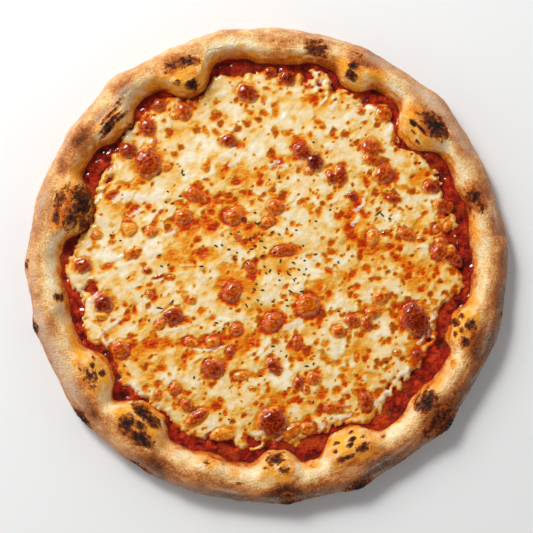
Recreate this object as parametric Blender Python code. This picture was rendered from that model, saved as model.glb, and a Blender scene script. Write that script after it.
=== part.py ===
"""A whole baked margherita pizza: a dough disc with a puffed rim, tomato sauce, and melted cheese.

Metres, +Z up. The origin is the middle of the flat underside. Angles run anticlockwise from +X,
in degrees in the tables and in radians everywhere else. Three solids lie on each other with a
hair's gap between them: the crust, the sauce in it, and the cheese on the sauce.
"""

import math

import bmesh
import bpy
from mathutils.geometry import delaunay_2d_cdt

MM = 0.001

# Driving sizes.
RIM_RADIUS = 158.2 * MM  # outer edge of the crust, where nothing bulges
RIM_HEIGHT = 19.0 * MM  # crest of the rim above the underside
CREST_INSET = 12.0 * MM  # from the outer edge in to the crest
BELLY_HEIGHT = 8.0 * MM  # height at which the rim is widest
FOOT_INSET = 7.0 * MM  # from the outer edge in to where the rim meets the underside
DOUGH_THICKNESS = 4.2 * MM  # the dough under the sauce
SAUCE_RADIUS = 135.8 * MM  # inner foot of the rim, where the sauce ends
SAUCE_SHIFT = 2.6 * MM  # how far the round of sauce lies off centre
SAUCE_SHIFT_ANGLE = math.radians(75)
SAUCE_THICKNESS = 1.6 * MM
CHEESE_RADIUS = 125.0 * MM
CHEESE_THICKNESS = 2.6 * MM
CHEESE_EDGE = 1.1 * MM  # thickness of the cheese at its ragged edge
GAP = 0.3 * MM  # between layers that lie on each other

# How finely the solids are faceted.
ANGLE_STEPS = 120
OUTER_STEPS = 4  # foot to belly
CREST_STEPS = 4  # belly to crest
SLOPE_STEPS = 6  # crest to sauce
CHEESE_SPACING = 9.5 * MM  # between the cheese's own points, away from its bubbles
CLOSEST_POINTS = 1.4 * MM

# The rim swells and sinks gently as it goes round: swells in a turn, height, phase.
RIM_SWELLS = ((3, 0.9 * MM, 0.4), (5, 0.6 * MM, 2.1), (11, 0.35 * MM, 1.2))

# Where the outer edge bulges: angle, push outwards in mm, half width in degrees.
EDGE_BULGES = (
    (3, 1.8, 7),
    (43, 2.8, 5),
    (66, 0.8, 3),
    (88, 0.9, 4),
    (101, 1.7, 4),
    (130, 3.5, 5),
    (146, 1.0, 5),
    (165, 1.0, 3),
    (181, 2.8, 4),
    (196, 2.8, 3),
    (220, 2.8, 5),
    (238, 1.0, 7),
    (275, 1.8, 3),
    (292, 2.4, 4),
    (317, 3.8, 4),
    (343, 1.8, 6),
)

# Gas blisters on the rim's inner side: angle, half width in degrees, reach in from the sauce's
# edge in mm, and lift in mm.
BLISTERS = (
    (41, 7, 12, 3.0),
    (64, 5, 9, 2.4),
    (87, 7, 4, 1.6),
    (113, 7, 14, 3.4),
    (138, 6, 7, 2.4),
    (165, 8, 16, 3.6),
    (190, 4, 1, 1.0),
    (213, 7, 9, 2.4),
    (232, 8, 10, 3.0),
    (254, 4, 1, 1.4),
    (273, 6, 9, 2.2),
    (294, 7, 10, 2.6),
    (318, 5, 2, 1.6),
    (341, 6, 6, 2.4),
)

# Where the sauce's edge wanders: angle, push outwards in mm, half width in degrees.
SAUCE_WAVES = ((6, -2.0, 4), (15, 2.2, 4), (21, -2.4, 4), (101, 2.0, 5), (134, -2.5, 4), (185, 1.4, 8), (224, 3.0, 5))

# Lobes and bays of the cheese's ragged edge: angle, push outwards in mm, half width in degrees.
CHEESE_LOBES = (
    (13, 5, 5),
    (29, 4, 5),
    (41, -6, 7),
    (52, 7, 4),
    (75, 9, 7),
    (90, 6, 5),
    (105, 6, 4),
    (113, -6, 5),
    (125, 6, 6),
    (136, 5, 4),
    (163, -4, 8),
    (183, 8, 6),
    (202, 4, 4),
    (213, -6, 6),
    (234, -5, 6),
    (256, -6, 5),
    (273, -7, 5),
    (284, -7, 4),
    (293, -9, 5),
    (311, -5, 4),
    (321, -4, 4),
    (332, -4, 4),
    (342, -7, 5),
    (354, 6, 4),
)

# Bubbles of browned cheese: middle x and y, long and short half length in mm, and the angle of
# the long one.
CHEESE_BUBBLES = (
    (-80, 66, 10, 9, 100),
    (-72, 105, 4.6, 4.6, 0),
    (-55, 101, 6, 5, 100),
    (-80, 90, 6, 5, 95),
    (-93, 74, 6, 5.5, 0),
    (-48, 45, 5.5, 4.5, -30),
    (-55, 29, 5.5, 4.5, 0),
    (-26, 81, 5.2, 5, 0),
    (-13, 113, 6.8, 6, 0),
    (2, 127, 4.7, 4, 0),
    (14, 123, 5.6, 5, -60),
    (24, 73, 6.5, 5, -45),
    (32, 66, 6, 5.5, -45),
    (43, 55, 4.2, 4, 0),
    (49, 58, 7, 4, 90),
    (79, 99, 5, 4.5, 0),
    (69, 76, 6.3, 5.8, 120),
    (71, 67, 6.5, 4, -10),
    (78, 58, 6.8, 6, 0),
    (85, 41, 5, 2.8, 0),
    (110, 49, 5, 4.5, 0),
    (6, 36, 5.5, 5, -30),
    (-22, 30, 7, 5, 10),
    (93, 17, 5.5, 3.6, -25),
    (70, 15, 5.5, 4, 90),
    (115, 6, 5.5, 5, 0),
    (122, 2, 5.5, 4.5, 0),
    (98, -38, 10, 9, -70),
    (75, -24, 5, 4, 20),
    (70, -34, 5, 4, 0),
    (66, -42, 4.6, 3.8, 100),
    (56, -39, 5.5, 4, -15),
    (47, -47, 4.5, 4.2, 0),
    (-108, -28, 6.5, 6.3, 0),
    (-62, -36, 6.3, 5.8, 0),
    (-97, -58, 6, 5.5, -60),
    (-35, -71, 7, 6.3, 20),
    (-60, -84, 3.8, 3.4, 90),
    (-53, -95, 4.6, 3.8, -30),
    (-45, -103, 8.5, 4, 35),
    (3, -106, 9.5, 8.5, -20),
    (-30, -114, 7.5, 3.6, 10),
    (-92, 21, 4.5, 4.5, 0),
    (-121, -3, 5, 5, 0),
    (4, -69, 6, 4.8, -30),
    (30, -77, 4.6, 4.3, 0),
    (20, -81, 4.8, 2.8, 80),
    (4, -41, 7, 5.5, 50),
    (-20, -45, 4.2, 3.6, 60),
    (44, -97, 7, 3.8, 0),
    (65, -93, 6, 4.6, 100),
    (97, -62, 3.6, 3.4, 0),
    (15, -111, 7.5, 3.6, 30),
    (-23, -20, 7, 5.5, 60),
    (12, 7, 8, 3.4, 10),
    (27, -30, 7, 6.5, 0),
)
BUBBLE_LIFT = 0.42  # height of a bubble over its short half length
BUBBLE_RINGS = ((0.0, 1), (0.55, 6), (1.0, 9))  # share of the way out, and points on that ring


def wave_sum(angle, waves):
    """The push, in metres, of a table of bulges or bays at an angle."""
    push = 0.0
    for middle, height, half_width in waves:
        turn = math.remainder(angle - math.radians(middle), math.tau)
        push += height * MM * math.exp(-((turn / math.radians(half_width)) ** 2))
    return push


def outer_radius(angle):
    return RIM_RADIUS + wave_sum(angle, EDGE_BULGES)


def blister_reach(angle):
    return wave_sum(angle, [(middle, reach, width) for middle, width, reach, lift in BLISTERS])


def blister_lift(angle):
    return wave_sum(angle, [(middle, lift, width) for middle, width, reach, lift in BLISTERS])


def sauce_radius(angle):
    shifted = SAUCE_RADIUS + SAUCE_SHIFT * math.cos(angle - SAUCE_SHIFT_ANGLE)
    return shifted + wave_sum(angle, SAUCE_WAVES) - blister_reach(angle)


def cheese_radius(angle):
    """The cheese's edge, which always leaves a strip of sauce bare."""
    bare_strip = 2.0 * MM
    return min(CHEESE_RADIUS + wave_sum(angle, CHEESE_LOBES), sauce_radius(angle) - bare_strip)


def rim_height(angle):
    swell = sum(height * math.cos(count * angle + phase) for count, height, phase in RIM_SWELLS)
    return RIM_HEIGHT + swell + 0.3 * blister_lift(angle)


def rim_section(angle):
    """Radius and height along the rim's section, from the underside over the crest to the sauce."""
    outer = outer_radius(angle)
    crest = outer - CREST_INSET
    top = rim_height(angle)
    section = []
    for step in range(OUTER_STEPS + 1):
        turn = math.pi / 2 * step / OUTER_STEPS
        section.append((outer - FOOT_INSET * (1 - math.sin(turn)), BELLY_HEIGHT * (1 - math.cos(turn))))
    for step in range(1, CREST_STEPS + 1):
        turn = math.pi / 2 * step / CREST_STEPS
        height = BELLY_HEIGHT + (top - BELLY_HEIGHT) * math.sin(turn)
        section.append((crest + CREST_INSET * math.cos(turn), height))
    for step in range(1, SLOPE_STEPS + 1):
        share = step / SLOPE_STEPS
        fall = (1 + math.cos(math.pi * share)) / 2
        swell = blister_lift(angle) * math.sin(math.pi * share)
        radius = crest + (sauce_radius(angle) - crest) * share
        section.append((radius, DOUGH_THICKNESS + (top - DOUGH_THICKNESS) * fall + swell))
    return section


def sauce_section(angle):
    """Radius and height along the sauce's rounded edge, from below to above."""
    edge = sauce_radius(angle) - GAP
    base = DOUGH_THICKNESS + GAP
    lip = 0.4 * SAUCE_THICKNESS
    return [
        (edge - lip, base),
        (edge, base + lip),
        (edge - lip, base + SAUCE_THICKNESS - lip / 2),
        (edge - 3 * lip, base + SAUCE_THICKNESS),
    ]


def cheese_base():
    return DOUGH_THICKNESS + SAUCE_THICKNESS + 2 * GAP


def across_bubble(x, y, bubble):
    """How far a point lies from a bubble's middle: 0 there, 1 on its foot."""
    middle_x, middle_y, long_half, short_half, slant = bubble
    turn = math.radians(slant)
    dx = x - middle_x * MM
    dy = y - middle_y * MM
    along = (dx * math.cos(turn) + dy * math.sin(turn)) / (long_half * MM)
    across = (dy * math.cos(turn) - dx * math.sin(turn)) / (short_half * MM)
    return math.hypot(along, across)


def cheese_height(x, y):
    """The cheese's top: a gently uneven sheet with a dome on each bubble."""
    sheet = 0.35 * MM * math.sin(x / (17 * MM)) * math.cos(y / (21 * MM))
    dome = 0.0
    for bubble in CHEESE_BUBBLES:
        share = across_bubble(x, y, bubble)
        if share < 1:
            lift = BUBBLE_LIFT * bubble[3] * MM
            dome = max(dome, lift * math.sqrt(1 - share * share))
    return cheese_base() + CHEESE_THICKNESS + sheet + dome


def polar_point(radius, angle):
    return (radius * math.cos(angle), radius * math.sin(angle))


def inside_cheese(x, y, margin):
    return math.hypot(x, y) < cheese_radius(math.atan2(y, x)) - margin


def bubble_points(bubble):
    """Points on a bubble: its middle, a ring halfway out and a ring on its foot."""
    middle_x, middle_y, long_half, short_half, slant = bubble
    tilt = math.radians(slant)
    points = []
    for share, count in BUBBLE_RINGS:
        for step in range(count):
            turn = math.tau * step / count
            along = share * long_half * MM * math.cos(turn)
            across = share * short_half * MM * math.sin(turn)
            x = middle_x * MM + along * math.cos(tilt) - across * math.sin(tilt)
            y = middle_y * MM + along * math.sin(tilt) + across * math.cos(tilt)
            points.append((x, y))
    return points


def sheet_points():
    """A triangular grid over the cheese, with the bubbles left free."""
    rows = int(CHEESE_RADIUS / CHEESE_SPACING) + 2
    points = []
    for row in range(-rows, rows + 1):
        for column in range(-rows - 2, rows + 3):
            x = (column + 0.5 * (row % 2)) * CHEESE_SPACING
            y = row * CHEESE_SPACING * math.sqrt(0.75)
            if all(across_bubble(x, y, bubble) > 1.3 for bubble in CHEESE_BUBBLES):
                points.append((x, y))
    return points


def spread_out(points, placed):
    """Adds the points that lie inside the cheese and not too near one already placed."""
    for point in points:
        far_enough = all(math.dist(point, other) > CLOSEST_POINTS for other in placed)
        if far_enough and inside_cheese(*point, 2 * CLOSEST_POINTS):
            placed.append(point)


def finished_object(name, mesh_builder, color, roughness):
    """Turns a closed bmesh into a named, smooth-shaded object with its own material."""
    bmesh.ops.recalc_face_normals(mesh_builder, faces=mesh_builder.faces)
    mesh = bpy.data.meshes.new(name)
    mesh_builder.to_mesh(mesh)
    mesh_builder.free()
    mesh.shade_smooth()
    mesh.set_sharp_from_angle(angle=math.radians(50))
    material = bpy.data.materials.new(name)
    material.use_nodes = True
    shader = material.node_tree.nodes["Principled BSDF"]
    shader.inputs["Base Color"].default_value = (*color, 1.0)
    shader.inputs["Roughness"].default_value = roughness
    shader.inputs["Metallic"].default_value = 0.0
    mesh.materials.append(material)
    piece = bpy.data.objects.new(name, mesh)
    bpy.context.scene.collection.objects.link(piece)
    return piece


def turned_solid(section_at):
    """A closed solid swept round the axis, with a section that changes with the angle."""
    solid = bmesh.new()
    columns = []
    for step in range(ANGLE_STEPS):
        angle = math.tau * step / ANGLE_STEPS
        column = [solid.verts.new((*polar_point(radius, angle), height)) for radius, height in section_at(angle)]
        columns.append(column)
    for left, right in zip(columns, columns[1:] + columns[:1]):
        for level in range(len(left) - 1):
            solid.faces.new((left[level], right[level], right[level + 1], left[level + 1]))
    solid.faces.new([column[0] for column in columns])
    solid.faces.new([column[-1] for column in columns])
    bmesh.ops.triangulate(solid, faces=[face for face in solid.faces if len(face.verts) == 4])
    return solid


def make_crust():
    return finished_object("crust", turned_solid(rim_section), (0.66, 0.40, 0.19), 0.75)


def make_sauce():
    return finished_object("tomato_sauce", turned_solid(sauce_section), (0.42, 0.03, 0.012), 0.30)


def make_cheese():
    """The melted cheese: a sheet of joined triangles on top, a flat underside and a low edge."""
    edge = [polar_point(cheese_radius(math.tau * step / ANGLE_STEPS), math.tau * step / ANGLE_STEPS)
            for step in range(ANGLE_STEPS)]
    inner = []
    for bubble in CHEESE_BUBBLES:
        spread_out(bubble_points(bubble), inner)
    spread_out(sheet_points(), inner)
    loop = [(step, (step + 1) % ANGLE_STEPS) for step in range(ANGLE_STEPS)]
    inside_loop = 1
    points, _, triangles, *_ = delaunay_2d_cdt(edge + inner, loop, [], inside_loop, 0.001 * MM)
    solid = bmesh.new()
    top = []
    for index, (x, y) in enumerate(points):
        height = cheese_base() + CHEESE_EDGE if index < ANGLE_STEPS else cheese_height(x, y)
        top.append(solid.verts.new((x, y, height)))
    for triangle in triangles:
        solid.faces.new([top[corner] for corner in triangle])
    bottom = [solid.verts.new((x, y, cheese_base())) for x, y in edge]
    for here, after in loop:
        solid.faces.new((bottom[here], bottom[after], top[after]))
        solid.faces.new((bottom[here], top[after], top[here]))
    solid.faces.new(bottom)
    return finished_object("cheese", solid, (0.86, 0.62, 0.24), 0.35)


def clear_scene():
    for old in list(bpy.data.objects):
        bpy.data.objects.remove(old)


clear_scene()
make_crust()
make_sauce()
make_cheese()
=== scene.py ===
"""The looks of a whole baked margherita pizza: blistered crust, tomato sauce, browned cheese, herbs.

Sizes and places are in millimetres until a mesh is made, which is in metres. Angles run
anticlockwise from +X, in degrees in the tables and in radians in the sums. +Z is up, and the
origin is the middle of the underside.
"""

import itertools
import math

import bmesh
import bpy
import numpy as np
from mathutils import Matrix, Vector


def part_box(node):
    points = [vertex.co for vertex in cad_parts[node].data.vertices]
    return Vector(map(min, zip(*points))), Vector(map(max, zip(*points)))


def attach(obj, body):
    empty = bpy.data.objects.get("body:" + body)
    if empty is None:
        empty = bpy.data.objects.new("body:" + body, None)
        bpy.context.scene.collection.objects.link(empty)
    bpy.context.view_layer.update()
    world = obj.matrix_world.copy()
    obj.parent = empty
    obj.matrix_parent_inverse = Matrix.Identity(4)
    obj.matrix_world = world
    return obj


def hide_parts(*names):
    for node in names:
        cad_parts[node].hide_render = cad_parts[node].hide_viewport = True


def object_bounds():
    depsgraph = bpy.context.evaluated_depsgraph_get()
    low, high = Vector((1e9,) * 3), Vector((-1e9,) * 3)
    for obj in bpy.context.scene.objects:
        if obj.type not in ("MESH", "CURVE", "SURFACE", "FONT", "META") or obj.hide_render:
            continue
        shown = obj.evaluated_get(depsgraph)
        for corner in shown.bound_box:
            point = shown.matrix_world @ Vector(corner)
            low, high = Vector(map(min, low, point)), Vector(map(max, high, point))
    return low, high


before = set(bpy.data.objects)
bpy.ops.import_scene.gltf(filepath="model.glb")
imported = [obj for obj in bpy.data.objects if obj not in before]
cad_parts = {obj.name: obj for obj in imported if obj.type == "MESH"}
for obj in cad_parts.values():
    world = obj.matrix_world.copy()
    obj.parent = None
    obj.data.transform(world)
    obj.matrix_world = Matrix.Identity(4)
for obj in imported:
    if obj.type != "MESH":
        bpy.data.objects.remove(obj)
CAD_BOX = [list(corner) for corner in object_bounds()]

MM = 0.001
SEED = 7

# The camera looks down from the front, and its distances are in metres.
CAMERA_DISTANCE = 0.834
CAMERA_AZIMUTH = -90
CAMERA_ELEVATION = 84
CAMERA_TARGET = (-0.0004, -0.0037, 0.009)

# Heights that the solids set.
GAP = 0.3  # between layers that lie on each other
SAUCE_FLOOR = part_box("tomato_sauce")[0][2] / MM
SAUCE_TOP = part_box("tomato_sauce")[1][2] / MM
DOUGH_TOP = SAUCE_FLOOR - GAP
CRUST_TOP = CAD_BOX[1][2] / MM

# The crust's driving sizes, as the solid has them.
RIM_RADIUS = 158.2
CREST_INSET = 12.0  # from the outer edge in to the rim's highest line
BELLY_HEIGHT = 8.0  # of the rim's widest line
FOOT_INSET = 7.0  # from the outer edge in to where the rim leaves the table
SAUCE_RADIUS = 135.8
SAUCE_SHIFT = 2.6
SAUCE_SHIFT_ANGLE = math.radians(75)
CHEESE_RADIUS = 125.0

# Sizes that the looks have for themselves.
RIM_HEIGHT = 18.0  # 1 mm under the solid's, which leaves room for lumps
RIM_MIDDLE = 150.0  # the radius at which noise is read along the rim
CHEESE_GAP = 1.5  # the least bare sauce between cheese and rim
CHEESE_LEVEL = 9.0  # the height at which sight lines to the rim's marks end

# The rim swells and sinks gently as it goes round: swells in a turn, height, phase.
RIM_SWELLS = ((3, 0.9, 0.4), (5, 0.6, 2.1), (11, 0.35, 1.2))

# Where the outer edge bulges: angle, push outwards, half width in degrees.
EDGE_BULGES = (
    (3, 1.8, 7), (43, 2.8, 5), (66, 0.8, 3), (88, 0.9, 4), (101, 1.7, 4), (130, 3.5, 5),
    (146, 1.0, 5), (165, 1.0, 3), (181, 2.8, 4), (196, 2.8, 3), (220, 2.8, 5), (238, 1.0, 7),
    (275, 1.8, 3), (292, 2.4, 4), (317, 3.8, 4), (343, 1.8, 6),
)

# Gas blisters on the rim's inner side: angle, half width in degrees, reach in over the sauce,
# and lift. The last two are read by their column.
REACH = 2
LIFT = 3
BLISTERS = (
    (41, 7, 14, 3.8), (64.5, 5, 8, 2.6), (87, 7, 3, 1.6), (113.5, 6.5, 15, 4.2),
    (138, 6, 6, 2.4), (165, 7.5, 15, 4.2), (190, 4, 1, 1.0), (213.5, 6.5, 9, 2.8),
    (232, 7.5, 11, 4.0), (254, 4, 1, 1.4), (273, 5.5, 9, 3.0), (294, 7.5, 12, 3.4),
    (318, 5, 3, 2.2), (341, 6, 7, 3.2),
)

# Where the sauce's edge wanders: angle, push outwards, half width in degrees.
SAUCE_WAVES = (
    (6, -2.0, 4), (15, 2.2, 4), (21, -2.4, 4), (101, 2.0, 5), (134, -2.5, 4), (185, 1.4, 8),
    (224, 3.0, 5),
)

# Lobes and bays of the cheese's ragged edge: angle, push outwards, half width in degrees.
CHEESE_LOBES = (
    (13, 5, 5), (29, 4, 5), (41, -6, 7), (52, 7, 4), (75, 9, 7), (90, 6, 5), (105, 6, 4),
    (113, -6, 5), (125, 6, 6), (136, 5, 4), (163, -4, 8), (183, 8, 6), (202, 4, 4),
    (213, -6, 6), (234, -5, 6), (256, -6, 5), (273, -7, 5), (284, -7, 4), (293, -9, 5),
    (311, -5, 4), (321, -4, 4), (332, -4, 4), (342, -7, 5), (354, 6, 4),
)

# Bubbles of browned cheese: middle x and y, long and short half length, the long one's angle,
# and how brown each is.
BUBBLES = (
    (-80, 66, 10, 9, 100, 0.73), (-72.5, 105.5, 4.6, 4.6, 0, 0.7), (-55.5, 101, 6, 5, 100, 0.6),
    (-62, 98, 2.6, 2.4, 0, 0.25), (-80, 90.5, 6, 5, 95, 0.75), (-93, 74.5, 6, 5.5, 0, 0.8),
    (-68, 63, 3.6, 3, 0, 0.35), (-40.5, 64, 4, 2.6, 90, 0.4), (-48.5, 45, 5.5, 4.5, -30, 0.6),
    (-43, 41.5, 3, 2, -40, 0.5), (-55.5, 29, 5.5, 4.5, 0, 0.55), (-26, 81, 5.3, 5, 0, 0.75),
    (2, 128, 4.7, 4, 0, 0.75), (13.5, 124, 5.6, 5, -60, 0.85), (-13.5, 113.5, 6.8, 6, 0, 0.8),
    (24, 73.5, 6.5, 5, -45, 0.85), (32, 66.5, 6, 5.5, -45, 1.0), (28, 60, 3, 2.5, 0, 0.5),
    (43, 55.5, 4.2, 4, 0, 0.8), (49.3, 57.5, 7, 4, 90, 0.75), (57, 43.5, 3, 2.5, -45, 0.8),
    (63, 101, 2.4, 2.4, 0, 0.55), (79.5, 99, 5, 4.5, 0, 0.6), (69, 76, 6.3, 5.8, 120, 0.65),
    (76, 74, 3, 1.6, 0, 0.6), (70.5, 67.8, 6.5, 3.8, -10, 0.6), (78, 58.5, 6.8, 6, 0, 0.65),
    (84.5, 41.5, 5, 2.5, 0, 0.8), (109.5, 49.5, 5, 4.5, 0, 0.75), (118.5, 37, 6.5, 4, -10, 0.7),
    (6, 36, 5.5, 5, -30, 0.55), (1, 26, 4.5, 3.2, 0, 0.4), (-22, 30, 7, 5, 10, 0.5),
    (-15.3, 28, 2, 2, 0, 0.9), (93, 17.5, 5.5, 3.5, -25, 0.55), (103, 14.5, 3, 2, 0, 0.55),
    (79, 18.7, 2.6, 1.7, 0, 0.75), (70, 15.5, 5.5, 4, 90, 0.3), (115, 6, 5.5, 5, 0, 0.7),
    (121.5, 3, 5.5, 4.8, 0, 0.75), (126.5, 0, 4, 4, 0, 0.8), (115, 12.5, 3.5, 3, 60, 0.45),
    (113, 22, 3.5, 2.5, 60, 0.45), (120, 23, 4, 2.5, 60, 0.4), (97.5, -38.5, 10, 9, -70, 0.89),
    (75, -24.5, 5, 4, 20, 0.5), (70, -34.5, 5, 4, 0, 0.5), (66, -41.5, 4.6, 3.7, 100, 0.65),
    (56.5, -39.5, 5.5, 4, -15, 0.6), (47.5, -47, 4.5, 4.2, 0, 0.5), (-108, -28, 6.5, 6.3, 0, 0.85),
    (-62, -36.5, 6.3, 5.8, 0, 0.8), (-71, -42.5, 4, 3, 30, 0.45), (-97, -58.5, 6, 5.5, -60, 0.6),
    (-35, -71.5, 7, 6.3, 20, 0.75), (-49.5, -26, 3, 3, 0, 0.45), (-77.5, -22.5, 2.7, 2.6, 0, 0.5),
    (-60.5, -84.5, 3.8, 3.3, 90, 0.5), (-72, -89, 3.2, 2.4, 90, 0.5), (-53, -95.5, 4.6, 3.8, -30, 0.6),
    (-45.5, -103, 8.5, 4, 35, 0.65), (3.5, -106, 9.8, 8.6, -20, 0.86), (-30, -114.5, 8.5, 4, 10, 0.3),
    (-79, -7, 3, 2.2, 0, 0.7), (-63.5, -11, 2.8, 1.8, 0, 0.45), (-72, -10.5, 4, 1.3, 20, 0.7),
    (-92, 21, 4.5, 4.5, 0, 0.2), (-77.5, 19.5, 4, 3.5, 0, 0.45), (-89, 5, 5, 3.5, 20, 0.5),
    (-122, -3, 5.5, 5, 0, 0.75), (-113, 17, 3, 2.5, 0, 0.35), (4.5, -69.5, 6, 4.8, -30, 0.75),
    (30.5, -77.5, 4.6, 4.3, 0, 0.5), (20.5, -81, 4.8, 2.6, 80, 0.75), (25.5, -85.5, 2.6, 2.3, 90, 0.45),
    (-20.5, -45.5, 4.2, 3.6, 60, 0.5), (4, -41, 7, 5.5, 50, 0.6), (-17, -76, 6, 3, 10, 0.35),
    (-9.5, -84.5, 2, 1.6, 0, 0.4), (44, -97, 7, 3.6, 0, 0.55), (65, -93, 6, 4.6, 100, 0.7),
    (99, -62.5, 3.5, 3.2, 0, 0.75), (85.5, -61, 2.2, 2.2, 0, 0.4), (20, -54, 4, 3, 90, 0.6),
    (59, -64, 3, 1.5, 90, 0.5), (16, -112, 8, 3.6, 30, 0.5), (27, -110, 4.5, 4, 0, 0.4),
    (-36, -54, 4.5, 4, 0, 0.4), (-24, -60, 3.5, 2.6, 50, 0.65), (-50, -54, 5, 3, -20, 0.45),
    (-23, -21, 7, 5.5, 60, 0.6), (12, 7, 8.5, 3.2, 10, 0.6), (-11, -4, 4, 3, -45, 0.55),
    (27, -30, 7, 7, 0, 0.5), (-109, -36.5, 4, 3, 0, 0.15),
)
BUBBLE_LIFT = 0.52  # height of a bubble over its short half length

# Where orange oil and sauce show through the cheese: middle x and y, long and short half length,
# the long one's angle, and how red the place is.
STAINS = (
    (-41, 40, 8, 8, 0, 0.8), (-24, 29, 10, 7, 0, 0.9), (-38, 24, 9, 4, -10, 0.8),
    (-40, 4, 10, 5, 0, 0.9), (-24, -7, 10, 5, -10, 0.8), (-25, -18, 8, 10, 0, 1.0),
    (-11, -4, 6, 4, -45, 0.8), (12, 7, 11, 4.5, 10, 0.9), (11, -4, 8, 5, 0, 0.5),
    (33, -17, 9, 6, 10, 0.9), (27, -32, 10, 8, 0, 0.9), (43, -10, 9, 4, -20, 0.5),
    (5, -40, 10, 8, 45, 0.9), (-6, -33, 9, 4, 0, 0.6), (-20, -47, 5, 6, 0, 0.8),
    (-13, -55, 19, 5, 35, 0.9), (-36, -53, 8, 6, 0, 0.8), (-78, -62, 14, 12, 0, 0.35),
    (-55, -64, 11, 6, 0, 0.35), (-57, -54, 11, 4, 0, 0.4), (-18, 55, 15, 8, 10, 0.4),
    (-33, 57, 9, 6, 30, 0.5), (-22, 44, 13, 6, 0, 0.35), (-55, 3, 12, 9, 0, 0.7),
    (-50, 24, 14, 7, 0, 0.35), (-50, 14, 9, 4, 0, 0.4), (57, 24, 10, 8, 0, 0.25),
    (60, 14, 6, 7, 0, 0.3), (76, 9, 9, 3, 0, 0.8), (67, 6, 7, 2, -5, 0.7),
    (51, -12, 8, 5, 0, 0.4), (41, -15, 6, 6, 0, 0.5), (39, -22, 5, 6, 0, 0.4),
    (105, -10, 13, 11, 0, 0.25), (88, 0, 6, 5, 0, 0.4), (9, 68, 9, 3, 15, 0.6),
    (57, 35, 10, 4, 35, 0.8), (38, 108, 8, 7, 0, 0.8), (48, 112, 3, 8, 0, 0.6),
    (35, -88, 8, 5, 0, 0.35), (28, -98, 8, 5, 0, 0.05), (60, -22, 8, 6, 0, 0.1),
    (62, -76, 8, 8, 0, 0.4), (54, -80, 6, 6, 0, 0.4), (3, -88, 4, 3, 0, 0.3),
    (-33, -96, 7, 4, 0, 0.2), (-91, 33, 6, 3, 0, 0.4), (-99, 37, 6, 3, 0, 0.35),
    (-80, 37, 7, 3, 0, 0.3), (-93, 50, 5, 3, 0, 0.35), (-112, -6, 6, 3, 0, 0.3),
    (-104, -15, 9, 4, 0, 0.1), (-100, -43, 10, 4, 25, 0.3), (-52, 12, 10, 7, 0, 0.35),
    (-10, 20, 9, 7, 0, 0.4), (-8, 8, 8, 9, 0, 0.25), (0, -2, 10, 9, 0, 0.3),
    (-30, 46, 8, 5, 0, 0.5), (2, 28, 7, 5, 0, 0.5), (-7, 57, 4, 6, 0, 0.8),
    (115, 20, 9, 10, 0, 0.6), (90, 84, 8, 4, -20, 0.8), (-104, 44, 5, 3, 0, 0.8),
    (-60, 22, 6, 5, 0, 0.4), (15, -90, 8, 5, 0, 0.3), (22, 80, 5, 4, 0, 0.6),
    (-20, 20, 11, 9, 0, 0.8), (101, 58, 9, 7, 0, 0.5), (104, 24, 9, 5, 0, 0.5), (101, -62, 9, 8, 0, 0.6),
    (21, -60, 8, 6, 0, 0.6), (-18, -18, 10, 8, 0, 0.45), (96, 66, 6, 5, 0, 0.5),
    (60, -60, 9, 6, 20, 0.1), (-20, -100, 9, 5, 10, 0.1),
)

# Places that stayed white and hardly toasted: middle x and y, long and short half length, and
# the long one's angle.
CLEAR_PLACES = (
    (20, 101, 16, 12, 20), (-97, -21, 12, 8, 20), (-42, 75, 12, 8, 20), (27, 16, 9, 7, 0),
    (-92, 10, 9, 6, 20), (76, 84, 9, 5, 20), (60, 66, 6, 8, -40),
)

# Strands of cheese that stayed pale and stand a little proud, their pinkish white partly a painted
# highlight on their lit ridges: middle x and y, half length, half width, and the angle they lie at.
PALE_STRANDS_AND_GLINTS = (
    (-97, 43, 5, 2.5, 20), (-80, 42, 6, 3, 10), (-112, 43, 3, 1.6, 60), (-88, 32, 4, 1.5, 30),
    (-65, 18, 4, 1.6, 20), (-75, 5, 4, 1.6, 25), (-99, 2, 4, 1.4, 18), (-92, -2, 4, 1.2, 30),
    (-72, -13, 3, 1.5, 20), (-73, -33, 3.5, 1.8, 0), (-66, -21, 3, 1.5, 40), (-115, -25, 4, 2, 60),
    (-104.5, -44, 9, 1.5, 38), (-104, -53, 3, 1.6, 0), (-85, -85, 4, 2, -45), (-60, -45, 4, 1.6, 20),
    (-38, -59, 10, 1.3, 5), (-22, 66, 4, 1.5, 30), (-24, 75, 3, 1.4, 30), (5, 66, 3, 1.4, 20),
    (11, 64, 3, 1.3, 0), (17, -42, 4, 2.4, 20), (33, -7, 3.5, 1.3, 0), (62, 36, 4, 1.5, 40),
    (59, 27, 3.5, 1.5, 50), (38, 108, 3, 1.6, 45), (45, 105, 3, 1.5, 60), (35, 118, 4, 1.6, 60),
    (33, 127, 3, 1.4, 30), (83, 90, 4, 3, 60), (90, 80, 3.5, 1.8, 100), (110, -37, 3, 1.6, 60),
    (107, -45, 3, 1.5, 70), (102, -52, 3, 1.6, 60), (98, -72, 3, 1.6, 50), (86, -77, 4, 1.6, 50),
    (78, -88, 4, 1.6, 40), (72, -93, 3, 1.5, 40), (50, -103, 5, 1.5, 10), (35.5, -111.5, 5, 1.3, 60),
    (-5, -113, 4, 1.6, 10), (-38, -116, 5, 1.6, 20), (12, -113.5, 8, 1.3, 32),
)

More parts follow.
